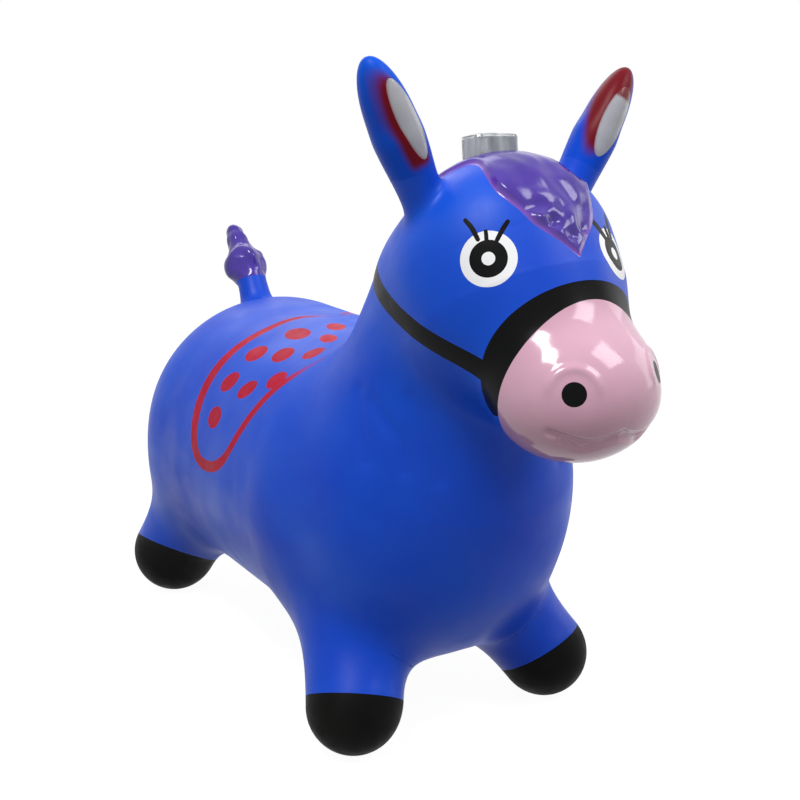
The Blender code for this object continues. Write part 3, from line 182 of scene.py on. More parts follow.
# Each dot: its turn and place, half its length and width, and its tilt in degrees
FLANK_DOTS = (
    (10, 0.0295, 0.014, 0.0068, -7), (19, 0.0065, 0.0132, 0.006, -7), (21.5, 0.0515, 0.0172, 0.0092, 0),
    (37, 0.0695, 0.0134, 0.0094, 14), (33.5, 0.0315, 0.0126, 0.0092, 11), (28.5, -0.0045, 0.011, 0.0075, 29),
    (51.5, 0.0735, 0.012, 0.0092, 30), (51.5, 0.0385, 0.0122, 0.0078, 34), (44, 0.0065, 0.0112, 0.0084, 29),
    (66, 0.0685, 0.0112, 0.0094, 0))
FLANK_FADE = 0.045

# Relief, and the sprayed colours that fade
MOUTH_CREASES = (
    ((0, -0.291, 0.2685), (0.0095, -0.2885, 0.2652), (0.0215, -0.2841, 0.2634), (0.035, -0.2789, 0.2675),
     (0.0427, -0.2734, 0.2704)),
    ((0, -0.2895, 0.2645), (0.0049, -0.2882, 0.2635), (0.013, -0.2851, 0.2609), (0.0234, -0.2792, 0.2585),
     (0.0302, -0.278, 0.2617), (0.0352, -0.2765, 0.2645)),
)
NECK_FOLDS = (
    ((0.082, -0.1155, 0.271), (0.086, -0.1255, 0.245), (0.088, -0.1335, 0.226)),
    ((0.080, -0.1285, 0.266), (0.077, -0.1405, 0.254), (0.073, -0.1505, 0.242), (0.070, -0.1565, 0.222)),
    ((0.066, -0.1555, 0.270), (0.059, -0.163, 0.243), (0.052, -0.1705, 0.216)),
)
FOLD_WIDTH = 0.006
FOLD_DEPTH = 0.0011
CREASE_WIDTH = 0.0025
CREASE_DEPTH = 0.0026
NOSTRIL_RIDGE_RADIUS = 0.0155
NOSTRIL_RIDGE_WIDTH = 0.003
NOSTRIL_RIDGE_HEIGHT = 0.0012
NOSTRIL_RIDGE_SHARES = (-0.3, 0.5)
NOSTRIL_DIP = 0.0014
FORELOCK_EDGE = 0.0045
FORELOCK_LUMPS = 0.0024
FORELOCK_NOISE = (((60, 38, 45), 1), ((110, 70, 80), 1 / 3))
FORELOCK_FRONT_SHARES = (0.3, 0.62)
FORELOCK_REAR_SHARE = 0.15
# Each hollow: its place, its widths and its depth
FORELOCK_HOLLOWS = (
    ((-0.0164, -0.2245, 0.3999), (0.0105, 0.0042, 0.0055), 0.003),
    ((-0.0101, -0.232, 0.3901), (0.0042, 0.0048, 0.0052), 0.0034),
    ((-0.0006, -0.238, 0.3816), (0.0055, 0.0042, 0.0042), 0.0026),
    ((-0.0218, -0.2134, 0.4104), (0.008, 0.008, 0.008), -0.0012),
    ((-0.0179, -0.2291, 0.3921), (0.0036, 0.0036, 0.0036), -0.0016),
    ((0.0029, -0.231, 0.3927), (0.0045, 0.0045, 0.006), -0.0016),
    ((0.016, -0.225, 0.396), (0.006, 0.005, 0.006), 0.0026),
    ((0.01, -0.235, 0.385), (0.004, 0.004, 0.0045), 0.0022),
)
TUFT_EDGE = 0.008
TUFT_LUMPS = 0.0032
TUFT_NOISE = (((75, 60, 40), 1), ((130, 110, 80), 1 / 2))
# Each ear's crimson oval: its shifts sideways and along from the lining, and its half sizes
BLUSHES = {"left": (0.006, 0.010, 0.0115, 0.036), "right": (-0.0025, -0.0055, 0.0078, 0.037)}
BLUSH_END = 0.007
BLUSH_SOFT_SHARE = 0.18
EAR_FRONT_FADE = 0.002
LINING_TOP = 0.0165
LINING_TOP_FADE = 0.002
LINING_RIM_SHARES = (0.86, 1.1)
LINING_RIM_FADE = 0.004

# The studio and the photograph's viewpoint
CAMERA_PLACE = (-0.4537, -0.7756, 0.4388)
CAMERA_TURN = radians(-31.5)
CAMERA_RISE = radians(13)
CAMERA_LENS = 50.6
AMBIENT = 0.38
FLOOR_HALF = 12.0
FLOOR_GLOW = 1.09
FLOOR_GLOW_SHARE = 0.88
FLOOR_BOUNCE_SHARE = 0.25
FLOOR_ROUGHNESS = 0.9
LIGHTS_AIM = (0, 0, 0.2)
# Each lamp: its name, place, width and power
STUDIO_LIGHTS = (("key", (-0.94, -0.59, 2.0), 0.55, 25), ("front", (0.85, -1.15, 1.75), 0.8, 13),
                 ("side", (1.9, -0.3, 0.7), 1.0, 4), ("back", (0.3, 1.6, 1.6), 1.2, 8))

# The mesh, and how far round each detail it is made finer once and twice
CELL = 0.0032
FINE_REACHES = {"ear": 0.055, "tuft": 0.05, "muzzle": 0.07, "fold": 0.016, "eye": 0.036, "nostril": 0.03}
FINER_REACHES = {"tuft": 0.04, "crease": 0.012, "eye": 0.03, "nostril": 0.022}
FINE_EAR_DROP = 0.03
FORM_SEGMENTS = 32
SMOOTH_ROUNDS = 4
SNAP_SHARE = 0.15
PROBE = 0.0004
MASK_REACH = 0.02
LINE_STEPS = 8
SETTLE_ROUNDS = 4
MARCH_ROUNDS = 60
WELL_SEGMENTS = 48
WELL_SHARP_ANGLE = radians(40)
BLEND_SHARE = 1 / 6
TINY = 1e-9

SIDES = {"left": 1, "right": -1}


def add_object(name, data):
    item = bpy.data.objects.new(name, data)
    bpy.context.scene.collection.objects.link(item)
    return item


# Forms and their field

class Ball:
    """An ellipsoid with its half sizes along its own axes, given as rows."""

    def __init__(self, centre, radii, axes=None):
        self.centre = np.array(centre, float)
        self.radii = np.array(radii, float)
        self.axes = np.eye(3) if axes is None else np.array(axes)

    def distance(self, points):
        offset = (points - self.centre) @ self.axes.T
        reach = np.sqrt(((offset / self.radii) ** 2).sum(1))
        slope = np.sqrt(((offset / self.radii ** 2) ** 2).sum(1)) + TINY
        return reach * (reach - 1) / slope

    def add_to(self, bm):
        turn = Matrix(self.axes.T.tolist()).to_4x4()
        placed = Matrix.Translation(self.centre) @ turn @ Matrix.Diagonal((*self.radii, 1))
        bmesh.ops.create_uvsphere(bm, u_segments=FORM_SEGMENTS, v_segments=FORM_SEGMENTS // 2,
                                  radius=1, matrix=placed)


class Limb:
    """A tapered rod with round ends."""

    def __init__(self, start, end, start_radius, end_radius):
        self.start = np.array(start, float)
        self.end = np.array(end, float)
        self.start_radius = start_radius
        self.end_radius = end_radius

    def distance(self, points):
        along = self.end - self.start
        share = np.clip(((points - self.start) @ along) / (along @ along), 0, 1)
        distance = lengths(points - self.start - share[:, None] * along)
        return distance - (self.start_radius + (self.end_radius - self.start_radius) * share)

    def add_to(self, bm):
        for centre, radius in ((self.start, self.start_radius), (self.end, self.end_radius)):
            Ball(centre, (radius, radius, radius)).add_to(bm)
        along = self.end - self.start
        bmesh.ops.create_cone(bm, cap_ends=True, segments=FORM_SEGMENTS, depth=float(np.linalg.norm(along)),
                              radius1=self.start_radius, radius2=self.end_radius,
                              matrix=facing((self.start + self.end) / 2, along))

    def point(self, share):
        return self.start + (self.end - self.start) * share


def facing(point, direction):
    """A frame at a point whose Z runs along a direction."""
    turn = Vector(direction).to_track_quat("Z", "Y").to_matrix().to_4x4()
    return Matrix.Translation(point) @ turn


def lengths(vectors):
    return np.linalg.norm(vectors, axis=1)


def unit(vector):
    vector = np.array(vector, float)
    return vector / np.linalg.norm(vector)


def leaning(angle):
    return np.array((0, sin(angle), cos(angle)))


def outward(turn, rise):
    return np.array((sin(turn) * cos(rise), -cos(turn) * cos(rise), sin(rise)))


def mirrored(vector, sign):
    return np.array(vector) * (sign, 1, 1)


RUMP = Ball(RUMP_CENTRE, RUMP_HALVES)
BARREL = Limb(BARREL_FRONT, BARREL_BACK, BARREL_RADIUS, BARREL_RADIUS)
CHEST = Ball(CHEST_CENTRE, CHEST_HALVES)
NECK = Limb(NECK_BASE, NECK_TOP, NECK_BASE_RADIUS, NECK_TOP_RADIUS)
HEAD = Ball(HEAD_CENTRE, HEAD_HALVES)
SNOUT = Limb(HEAD_CENTRE, SNOUT_END, HEAD_HALVES[0] * BROW_SHARE, SNOUT_RADIUS)
MUZZLE = Ball(MUZZLE_CENTRE, MUZZLE_HALVES)
LEGS = {end: Limb(hip, (*foot, radius - SOLE_DEPTH), hip_radius, radius)
        for end, (hip, hip_radius, foot, radius) in LEG_SIZES.items()}
EAR_SEAT = HEAD.centre + HEAD.radii * EAR_SEAT_SHARES
EAR_AXIS = unit((tan(EAR_LEAN_OUT), -tan(EAR_LEAN_FORWARD), 1))
EAR_TIP = EAR_SEAT + EAR_AXIS * EAR_LENGTH
EAR_SIDE = unit(np.cross((-sin(EAR_TURN_IN), -cos(EAR_TURN_IN), 0), EAR_AXIS))
EAR_FRONT = np.cross(EAR_AXIS, EAR_SIDE)
EAR_LEAF = Ball((EAR_SEAT + EAR_TIP) / 2, (EAR_HALF_WIDTH, EAR_HALF_DEPTH, EAR_LENGTH / 2 + EAR_CROWN),
                (EAR_SIDE, EAR_FRONT, EAR_AXIS))
EAR_STEM = Limb(EAR_SEAT - EAR_AXIS * EAR_STEM_DEPTH, EAR_SEAT + EAR_AXIS * EAR_LENGTH * EAR_STEM_SHARE,
                EAR_STEM_RADIUS, EAR_STEM_RADIUS * EAR_STEM_TAPER_SHARE)
TAIL_AXIS = leaning(TAIL_LEAN)
TAIL_SEAT = RUMP.centre + RUMP.radii * (0, *TAIL_SEAT_SHARES)
TAIL_END = TAIL_SEAT + TAIL_AXIS * TAIL_LENGTH
TUFT_CENTRE = TAIL_END + leaning(TUFT_LEAN) * TUFT_OFFSET
TAIL = Limb(TAIL_SEAT, TAIL_END, TAIL_BASE_RADIUS, TAIL_END_RADIUS)
TUFT = Ball(TUFT_CENTRE, (TUFT_RADIUS, TUFT_RADIUS, TUFT_RADIUS))
TIP = Limb(TUFT_CENTRE, TUFT_CENTRE + leaning(TIP_LEAN) * TIP_OFFSET,
           TUFT_RADIUS * TUFT_NECK_SHARE, TIP_RADIUS)


def smooth_union(first, second, width):
    overlap = np.maximum(width - np.abs(first - second), 0) / width
    return np.minimum(first, second) - overlap ** 3 * width * BLEND_SHARE


def skin_field(points):
    """Roughly the distance outside the skin, alike on both sides."""
    points = np.column_stack((np.abs(points[:, 0]), points[:, 1:]))
    torso = smooth_union(RUMP.distance(points), BARREL.distance(points), TORSO_BLEND)
    torso = smooth_union(torso, CHEST.distance(points), TORSO_BLEND)
    face = smooth_union(HEAD.distance(points), SNOUT.distance(points), SNOUT_BLEND)
    face = smooth_union(face, MUZZLE.distance(points), MUZZLE_BLEND)
    field = smooth_union(torso, smooth_union(NECK.distance(points), face, NECK_BLEND), TORSO_BLEND)
    for leg in LEGS.values():
        field = smooth_union(field, leg.distance(points), LEG_BLEND)
    ear = smooth_union(EAR_LEAF.distance(points), EAR_STEM.distance(points), EAR_LEAF_BLEND)
    field = smooth_union(field, ear, EAR_BLEND)
    tail = smooth_union(TAIL.distance(points), TUFT.distance(points), TUFT_BLEND)
    tail = smooth_union(tail, TIP.distance(points), TIP_BLEND)
    return smooth_union(field, tail, TAIL_BLEND)


def slope_of(field, points):
    rises = [field(points + step) - field(points - step) for step in np.eye(3) * PROBE]
    return np.stack(rises, 1) / (2 * PROBE)


def settle(points):
    for _ in range(SETTLE_ROUNDS):
        slope = slope_of(skin_field, points)
        points = points - slope * (skin_field(points) / (slope ** 2).sum(1))[:, None]
    return points


def normals_at(points):
    slope = slope_of(skin_field, points)
    return slope / lengths(slope)[:, None]


def meet(start, direction):
    """Where a ray from inside the skin meets it."""
    point = np.array(start, float)
    for _ in range(MARCH_ROUNDS):
        point = point - direction * skin_field(point[None])[0]
    return point


# A triangle skin that can be refined and cut

class Skin:
    """Points, triangles and the zone that each triangle belongs to."""

    def __init__(self, points, triangles):
        self.points = points
        self.triangles = triangles
        self.zones = np.full(len(triangles), "body", dtype=object)

    def edges(self):
        pairs = np.sort(self.triangles[:, [[0, 1], [1, 2], [2, 0]]].reshape(-1, 2), axis=1)
        keys, index = np.unique(pairs @ (len(self.points), 1), return_inverse=True)
        return np.column_stack(np.divmod(keys, len(self.points))), index.reshape(-1, 3)

    def split(self, edges, index, flagged, places):
        """Splits the flagged edges at given places and divides their triangles to suit."""
        middle = np.full(len(edges), -1)
        middle[flagged] = len(self.points) + np.arange(flagged.sum())
        self.points = np.concatenate((self.points, places))
        new = middle[index]
        count = (new >= 0).sum(1)
        triangles, zones = [self.triangles[count == 0]], [self.zones[count == 0]]
        for number in (1, 2, 3):
            chosen = count == number
            old, made, zone = self.triangles[chosen], new[chosen], self.zones[chosen]
            if number < 3:
                first = np.argmax((made >= 0) if number == 1 else (np.roll(made, 1, axis=1) < 0), axis=1)
                order = (first[:, None] + np.arange(3)) % 3
                old = np.take_along_axis(old, order, 1)
                made = np.take_along_axis(made, order, 1)
            a, b, c = old.T
            p, q, r = made.T
            corners = {1: ((a, p, c), (p, b, c)),
                       2: ((p, b, q), (a, p, q), (a, q, c)),
                       3: ((a, p, r), (p, b, q), (r, q, c), (p, q, r))}[number]
            triangles += [np.column_stack(corner) for corner in corners]
            zones += [zone] * len(corners)
        self.triangles, self.zones = np.concatenate(triangles), np.concatenate(zones)

    def centres(self):
        return self.points[self.triangles].mean(1)

    def refine(self, mask):
        """Halves the edges of the triangles whose centre lies inside a mask."""
        edges, index = self.edges()
        flagged = np.zeros(len(edges), bool)
        flagged[index[mask(self.centres()) < 0].ravel()] = True
        self.split(edges, index, flagged, settle(self.points[edges[flagged]].mean(1)))

    def crossings(self, edges, usable, values):
        """The edges on which a mask changes sign, and where."""
        ends = values[edges]
        flagged = usable & (ends[:, 0] * ends[:, 1] < 0)
        share = ends[flagged, 0] / (ends[flagged, 0] - ends[flagged, 1])
        start, end = self.points[edges[flagged, 0]], self.points[edges[flagged, 1]]
        return flagged, share, start + (end - start) * share[:, None]

    def cut(self, mask, zone, within=("body",)):
        """Cuts where a mask changes sign and gives its inside a zone's name."""
        edges, index = self.edges()
        values = mask(self.points)
        touched = np.isin(self.zones, within)
        usable = np.zeros(len(edges), bool)
        usable[index[touched].ravel()] = True
        free = np.ones(len(self.points), bool)
        free[self.triangles[~touched].ravel()] = False
        flagged, share, places = self.crossings(edges, usable, values)
        for end, close in ((0, share < SNAP_SHARE), (1, share > 1 - SNAP_SHARE)):
            corner = edges[flagged, end]
            moved = close & free[corner]
            self.points[corner[moved]] = settle(places[moved])
            values[corner[moved]] = 0
        flagged, share, places = self.crossings(edges, usable, values)
        self.split(edges, index, flagged, settle(places))
        touched = np.flatnonzero(np.isin(self.zones, within))
        self.zones[touched[mask(self.centres()[touched]) < 0]] = zone

    def piece(self, zone, side=0):
        """A zone's own points and triangles, on one side or on both."""
        chosen = (self.zones == zone) & (self.centres()[:, 0] * side >= 0)
        used, index = np.unique(self.triangles[chosen], return_inverse=True)
        return self.points[used], index.reshape(-1, 3)


def rough_skin():
    """One remeshed body of all the forms, as points and triangles."""
    bm = bmesh.new()
    for form in (RUMP, BARREL, CHEST, NECK, HEAD, SNOUT, MUZZLE, *LEGS.values(), EAR_LEAF, EAR_STEM,
                 TAIL, TUFT, TIP):
        form.add_to(bm)
    mesh = bpy.data.meshes.new("rough")
    bm.to_mesh(mesh)
    bm.free()
    item = add_object("rough", mesh)
    remesh = item.modifiers.new("even_cells", "REMESH")
    remesh.mode = "VOXEL"
    remesh.voxel_size = CELL
    graph = bpy.context.evaluated_depsgraph_get()
    bm = bmesh.new()
    bm.from_mesh(item.evaluated_get(graph).to_mesh())
    bpy.data.objects.remove(item)
    bmesh.ops.bisect_plane(bm, geom=bm.verts[:] + bm.edges[:] + bm.faces[:], plane_co=(0, 0, 0),
                           plane_no=(1, 0, 0), clear_inner=True)
    bmesh.ops.triangulate(bm, faces=bm.faces)
    bm.verts.index_update()
    points = np.array([v.co for v in bm.verts])
    rim = np.array([v.is_boundary for v in bm.verts])
    triangles = np.array([[v.index for v in f.verts] for f in bm.faces])
    edges = np.array([[v.index for v in e.verts] for e in bm.edges])
    bm.free()
    return points, triangles, edges, rim


def make_skin():
    points, triangles, edges, rim = rough_skin()
    both = np.concatenate((edges, edges[:, ::-1]))
    count = np.bincount(both[:, 0], minlength=len(points))[:, None]
    for _ in range(SMOOTH_ROUNDS):
        total = np.zeros_like(points)
        np.add.at(total, both[:, 0], points[both[:, 1]])
        points = settle((points + total / count) / 2)
        points[rim, 0] = 0
    inner = ~rim
    twin = np.where(rim, np.arange(len(points)), 0)
    twin[inner] = len(points) + np.arange(inner.sum())
    whole = np.concatenate((points, points[inner] * (-1, 1, 1)))
    return Skin(whole, np.concatenate((triangles, twin[triangles][:, ::-1])))


# Masks, below zero inside

def near(centre, radius):
    return lambda points: lengths(points - centre) - radius


def either(*masks):
    return lambda points: np.min([mask(points) for mask in masks], axis=0)


def both_of(*masks):
    return lambda points: np.max([mask(points) for mask in masks], axis=0)


def beyond(point, normal):
    """On the normal's side of a plane."""
    return lambda points: -(points - point) @ np.array(normal)


def disc(spot, radius):
    """A round mark on the skin."""
    normal = normal_at(spot)

    def mask(points):
        offset = points - spot
        height = offset @ normal
        across = lengths(offset - height[:, None] * normal)
        return np.maximum(across - radius, np.abs(height) - MASK_REACH)
    return mask


def slab(point, normal, width):
    return lambda points: np.abs((points - point) @ normal) - width / 2


def mirrored_left(points):
    return points * np.where(points[:, :1] < 0, (-1, 1, 1), 1)


def on_both_sides(mask):
    """A mask on the left side, used on the right side as well."""
    return lambda points: mask(mirrored_left(points))


def smooth_line(points):
    """Points along a rounded line through the given ones."""
    points = np.array(points, float)
    padded = np.concatenate((points[:1] * 2 - points[1:2], points, points[-1:] * 2 - points[-2:-1]))
    along = np.linspace(0, 1, LINE_STEPS, endpoint=False)[:, None]
    line = []
    for before, start, end, after in zip(padded, padded[1:], padded[2:], padded[3:]):
        line.append(start + ((end - before) * along + (2 * before - 5 * start + 4 * end - after) * along ** 2
                             + (3 * start - before - 3 * end + after) * along ** 3) / 2)
    return np.concatenate((*line, points[-1:]))


def stroke(line, widths):
    """Inside a stroke along a line, whose width runs through the given values."""
    halves = np.interp(np.linspace(0, 1, len(line)), np.linspace(0, 1, len(widths)), widths) / 2

    def mask(points):
        best = np.full(len(points), MASK_REACH)
        above, below = line.min(0) - MASK_REACH, line.max(0) + MASK_REACH
        close = np.flatnonzero(((points > above) & (points < below)).all(1))
        points = points[close]
        for start, end, first, last in zip(line, line[1:], halves, halves[1:]):
            along = end - start
            share = np.clip((points - start) @ along / (along @ along), 0, 1)
            gap = lengths(points - start - share[:, None] * along)
            best[close] = np.minimum(best[close], gap - first - (last - first) * share)
        return best
    return mask


# Places and lines on the skin

def print_spots(centre, places):
    """The middle of each side's print on the skin, by its turn and rise from a form's centre."""
    return {side: meet(centre, outward(radians(turn) * SIDES[side], radians(rise)))
            for side, (turn, rise) in places.items()}


EYE_SPOTS = print_spots(HEAD.centre, EYE_PLACES)
NOSTRIL_SPOTS = print_spots(MUZZLE.centre, NOSTRIL_PLACES)
VALVE_SPOT = meet((0, VALVE_BACK, BARREL_BACK[2]), np.array((0, 0, -1)))
LINING_CENTRE = (EAR_SEAT + EAR_AXIS * EAR_LENGTH * EAR_LINING_SHARE
                 - EAR_SIDE * EAR_HALF_WIDTH * EAR_LINING_OUT_SHARE)
LIGHT_AXIS = leaning(LIGHT_TILT)
LIGHT_ACROSS = np.array((1, 0, 0))
LIGHT_ALONG = np.cross(LIGHT_AXIS, LIGHT_ACROSS)
LIGHT_MOUTH = meet(HEAD.centre + (0, LIGHT_BEHIND, 0), LIGHT_AXIS)
FORELOCK_FRONT = LIGHT_MOUTH[1] + LIGHT_LENGTH / 2 + FORELOCK_BEHIND_LIGHT - FORELOCK_LENGTH
MUZZLE_NORMAL = -np.array((0, cos(MUZZLE_LINE_TILT), sin(MUZZLE_LINE_TILT)))
MUZZLE_POINT = MUZZLE.centre + (0, -MUZZLE_LINE_FORWARD, MUZZLE_LINE_RISE)


def normal_at(spot):
    return normals_at(spot[None])[0]


def eye_place(side, away, up):
    """A place beside an eye, measured away from the nose and up."""
    normal = normal_at(EYE_SPOTS[side])
    across = unit(np.cross((0, 0, 1), normal))
    return EYE_SPOTS[side] + across * away * SIDES[side] + np.cross(normal, across) * up


LASHES = [stroke(settle(smooth_line([eye_place(side, *place) for place in places])),
                 np.array(widths) * LASH_WIDTH_SHARES[side])
          for side in SIDES for places, widths in LASH_STROKES]
MOUTH_LINES = [settle(smooth_line(places)) for places in MOUTH_CREASES]
FOLD_LINES = [settle(smooth_line(places)) for places in NECK_FOLDS]


def hoof_mask(end):
    leg = LEGS[end]
    up = -unit(HOOF_NORMAL_SHARES[end])
    return both_of(beyond(leg.end + up * HOOF_RISES[end], -up), near(leg.end, leg.end_radius * 2))


def leg_mask(end):
    zone = near(LEGS[end].point(1 - LEG_ZONE_SHARE), LEG_ZONE_RADIUS)
    return both_of(zone, beyond((MIDDLE_STRIP, 0, 0), (1, 0, 0)))


def ear_mask(start):
    return both_of(beyond(EAR_SEAT + EAR_AXIS * start, EAR_AXIS), near(EAR_SEAT, EAR_LENGTH * 2))


def ear_place(points):
    """Sideways and along the ear from its lining's centre, for points on the left ear."""
    offset = points - LINING_CENTRE
    return offset @ EAR_SIDE, offset @ EAR_AXIS, offset @ EAR_FRONT


def lining_mask(points):
    across, along, front = ear_place(mirrored_left(points))
    left = points[:, 0] > 0
    half_width, half_length = (np.where(left, *sizes) for sizes in zip(*EAR_LININGS.values()))
    ring = np.hypot(across / half_width, along / half_length) - 1
    return np.maximum(ring * half_width, -front)


def tail_mask(start):
    return both_of(beyond(TAIL_SEAT + TAIL_AXIS * start, TAIL_AXIS), near(TUFT_CENTRE, TIP_OFFSET * 2))


def band_mask(points):
    """Inside the leaning oval, seen from the side, whose rear edge is the noseband's."""
    offset = points - MUZZLE_POINT - (0, -BAND_FORWARD, BAND_RISE)
    along = offset @ (0, -sin(BAND_LEAN), cos(BAND_LEAN))
    across = offset @ (0, cos(BAND_LEAN), sin(BAND_LEAN))
    return (np.hypot(along / BAND_HALF_LENGTH, across / BAND_HALF_WIDTH) - 1) * BAND_HALF_WIDTH


def lock_share(points):
    """How far back along the forelock a point is."""
    return (points[:, 1] - FORELOCK_FRONT) / FORELOCK_LENGTH


def lock_edge(points):
    """How far inside the forelock's outline a point is."""
    shares = smooth_line(FORELOCK_OUTLINE_SHARES)
    back = lock_share(points)
    half = np.interp(back, shares[:, 0], shares[:, 1], left=-1, right=-1) * FORELOCK_HALF_WIDTH
    return np.where(points[:, 2] > HEAD_CENTRE[2], half - np.abs(points[:, 0]), -FORELOCK_HALF_WIDTH)


def inside_lock(points):
    return -lock_edge(points)


def light_plan(points):
    """Distance outside the rounded plan of the light's pocket."""
    offset = points - LIGHT_MOUTH
    across = np.abs(offset @ LIGHT_ACROSS) - LIGHT_WIDTH / 2 - KERF + LIGHT_CORNER
    along = np.abs(offset @ LIGHT_ALONG) - LIGHT_LENGTH / 2 - KERF + LIGHT_CORNER
    outer = np.hypot(np.maximum(across, 0), np.maximum(along, 0))
    plan = outer + np.minimum(np.maximum(across, along), 0) - LIGHT_CORNER
    return np.where(offset @ LIGHT_AXIS > -LIGHT_LENGTH, plan, LIGHT_WIDTH)


def flank_plan(points):
    """Points as an arc down from the back and a place behind the origin."""
    turn = np.arctan2(np.abs(points[:, 0]), points[:, 2] - BARREL_BACK[2])
    return np.column_stack((turn * BARREL_RADIUS, points[:, 1]))


def flank_places(places):
    return np.array([(radians(turn) * BARREL_RADIUS, back) for turn, back in places])


FLANK_LINE = smooth_line(flank_places(FLANK_OUTLINE))
FLANK_STROKE = stroke(FLANK_LINE, FLANK_WIDTHS)
FLANK_FRONT = CHEST_CENTRE[1] / 2


def flank_line_mask(points):
    return np.where(points[:, 1] > FLANK_FRONT, FLANK_STROKE(flank_plan(points)), BARREL_RADIUS)


def flank_dot_mask(points):
    plan = flank_plan(points)
    best = np.full(len(points), BARREL_RADIUS)
    for turn, back, length, width, tilt in FLANK_DOTS:
        offset = plan - flank_places([(turn, back)])
        tilt = radians(tilt)
        along = offset @ (sin(tilt), cos(tilt))
        across = offset @ (cos(tilt), -sin(tilt))
        best = np.minimum(best, (np.hypot(along / length, across / width) - 1) * width)
    return np.where(points[:, 1] > FLANK_FRONT, best, BARREL_RADIUS)


def divide(skin):
    """Refines the skin where it has detail and cuts it into its zones."""
    eyes, nostrils = EYE_SPOTS.values(), NOSTRIL_SPOTS.values()
    ear_middle = EAR_TIP - EAR_AXIS * FINE_EAR_DROP
    fold_widths, crease_widths = [FINE_REACHES["fold"]] * 2, [FINER_REACHES["crease"]] * 2
    twins = either(near(ear_middle, FINE_REACHES["ear"]), near(TUFT_CENTRE, FINE_REACHES["tuft"]),
                   near(MUZZLE_POINT, FINE_REACHES["muzzle"]), flank_line_mask, flank_dot_mask,
                   *[stroke(line, fold_widths) for line in FOLD_LINES])
    finer_twins = either(near(TUFT_CENTRE, FINER_REACHES["tuft"]),
                         *[stroke(line, crease_widths) for line in MOUTH_LINES])
    for masks, reaches in ((twins, FINE_REACHES), (finer_twins, FINER_REACHES)):
        wanted = either(on_both_sides(masks), inside_lock, *[near(spot, reaches["eye"]) for spot in eyes],
                        *[near(spot, reaches["nostril"]) for spot in nostrils])
        skin.refine(wanted)
    for end in LEGS:
        skin.cut(on_both_sides(hoof_mask(end)), "hoof_" + end)
        skin.cut(on_both_sides(leg_mask(end)), "leg_" + end)
    skin.cut(beyond(MUZZLE_POINT, MUZZLE_NORMAL), "muzzle")
    skin.cut(band_mask, "noseband")
    across = np.array((0, -sin(STRAP_RISE), cos(STRAP_RISE)))
    skin.cut(slab(HEAD.centre - (0, 0, STRAP_DROP), across, STRAP_WIDTH), "strap")
    skin.cut(on_both_sides(ear_mask(EAR_ROOT_START)), "ear")
    skin.cut(lining_mask, "lining", within=("ear",))
    skin.cut(tail_mask(TAIL_ROOT_START), "tail")
    skin.cut(tail_mask(TAIL_LENGTH), "tuft", within=("tail",))
    skin.cut(light_plan, "pocket")
    skin.cut(inside_lock, "forelock")
    for zone, radius, within in (("eye_ring", EYE_RADIUS, "body"), ("eye_iris", IRIS_RADIUS, "eye_ring"),
                                 ("eye_dot", DOT_RADIUS, "eye_iris")):
        skin.cut(either(*[disc(spot, radius) for spot in eyes]), zone, within=(within,))
    skin.cut(either(*LASHES), "lashes", within=("body", "eye_ring"))
    skin.cut(either(*[disc(spot, NOSTRIL_RADIUS) for spot in nostrils]), "nostril", within=("muzzle",))
    skin.cut(disc(VALVE_SPOT, PLUG_HEAD_RADIUS + KERF), "valve")
    skin.cut(either(flank_line_mask, flank_dot_mask), "flank_print")


# Relief, in metres out from the skin

def bell(distance, width):
    return np.exp(-(distance / width) ** 2)


def ramp(values, low, high):
    share = np.clip((values - low) / (high - low), 0, 1)
    return share * share * (3 - 2 * share)


def line_distance(points, line):
    return stroke(line, (0, 0))(points)


def lumps_at(points, layers):
    """Noise in layers of (scale, share), each from its own place."""
    total = 0
    for step, (scale, share) in enumerate(layers):
        places = ((points + step) * scale).tolist()
        total = total + np.array([noise.noise(Vector(place)) for place in places]) * share
    return total


def muzzle_relief(points):
    left = mirrored_left(points)
    height = np.zeros(len(points))
    for line in MOUTH_LINES:
        height -= bell(line_distance(left, line), CREASE_WIDTH) * CREASE_DEPTH
    around = np.min([lengths(points - spot) for spot in NOSTRIL_SPOTS.values()], axis=0)
    above = np.max([(points - spot)[:, 2] for spot in NOSTRIL_SPOTS.values()], axis=0) / around
    ridge = bell(around - NOSTRIL_RIDGE_RADIUS, NOSTRIL_RIDGE_WIDTH) * NOSTRIL_RIDGE_HEIGHT
    height += ridge * ramp(above, *NOSTRIL_RIDGE_SHARES)
    return height - bell(around, NOSTRIL_RIDGE_RADIUS) * NOSTRIL_DIP


def body_relief(points):
    left = mirrored_left(points)
    return -sum(bell(line_distance(left, line), FOLD_WIDTH) for line in FOLD_LINES) * FOLD_DEPTH


def forelock_relief(points):
    edge = ramp(np.minimum(lock_edge(points), light_plan(points)), 0, FORELOCK_EDGE)
    front = 1 - ramp(lock_share(points), *FORELOCK_FRONT_SHARES)
    lumps = lumps_at(points, FORELOCK_NOISE)
    height = FORELOCK_RISE + lumps * FORELOCK_LUMPS * (FORELOCK_REAR_SHARE + front)
    for place, width, depth in FORELOCK_HOLLOWS:
        height -= bell(lengths((points - place) / width), 1) * depth
    return edge * height


def tuft_relief(points):
    edge = ramp((points - TAIL_SEAT) @ TAIL_AXIS, TAIL_LENGTH, TAIL_LENGTH + TUFT_EDGE)
    return edge * lumps_at(points, TUFT_NOISE) * TUFT_LUMPS


def relieved(points, relief):
    """Points moved out by their relief, with their exact normals."""
    normals = normals_at(points)
    rise = slope_of(relief, points)
    rise -= (rise * normals).sum(1)[:, None] * normals
    tilted = normals - rise
    return points + normals * relief(points)[:, None], tilted / lengths(tilted)[:, None]


# Materials

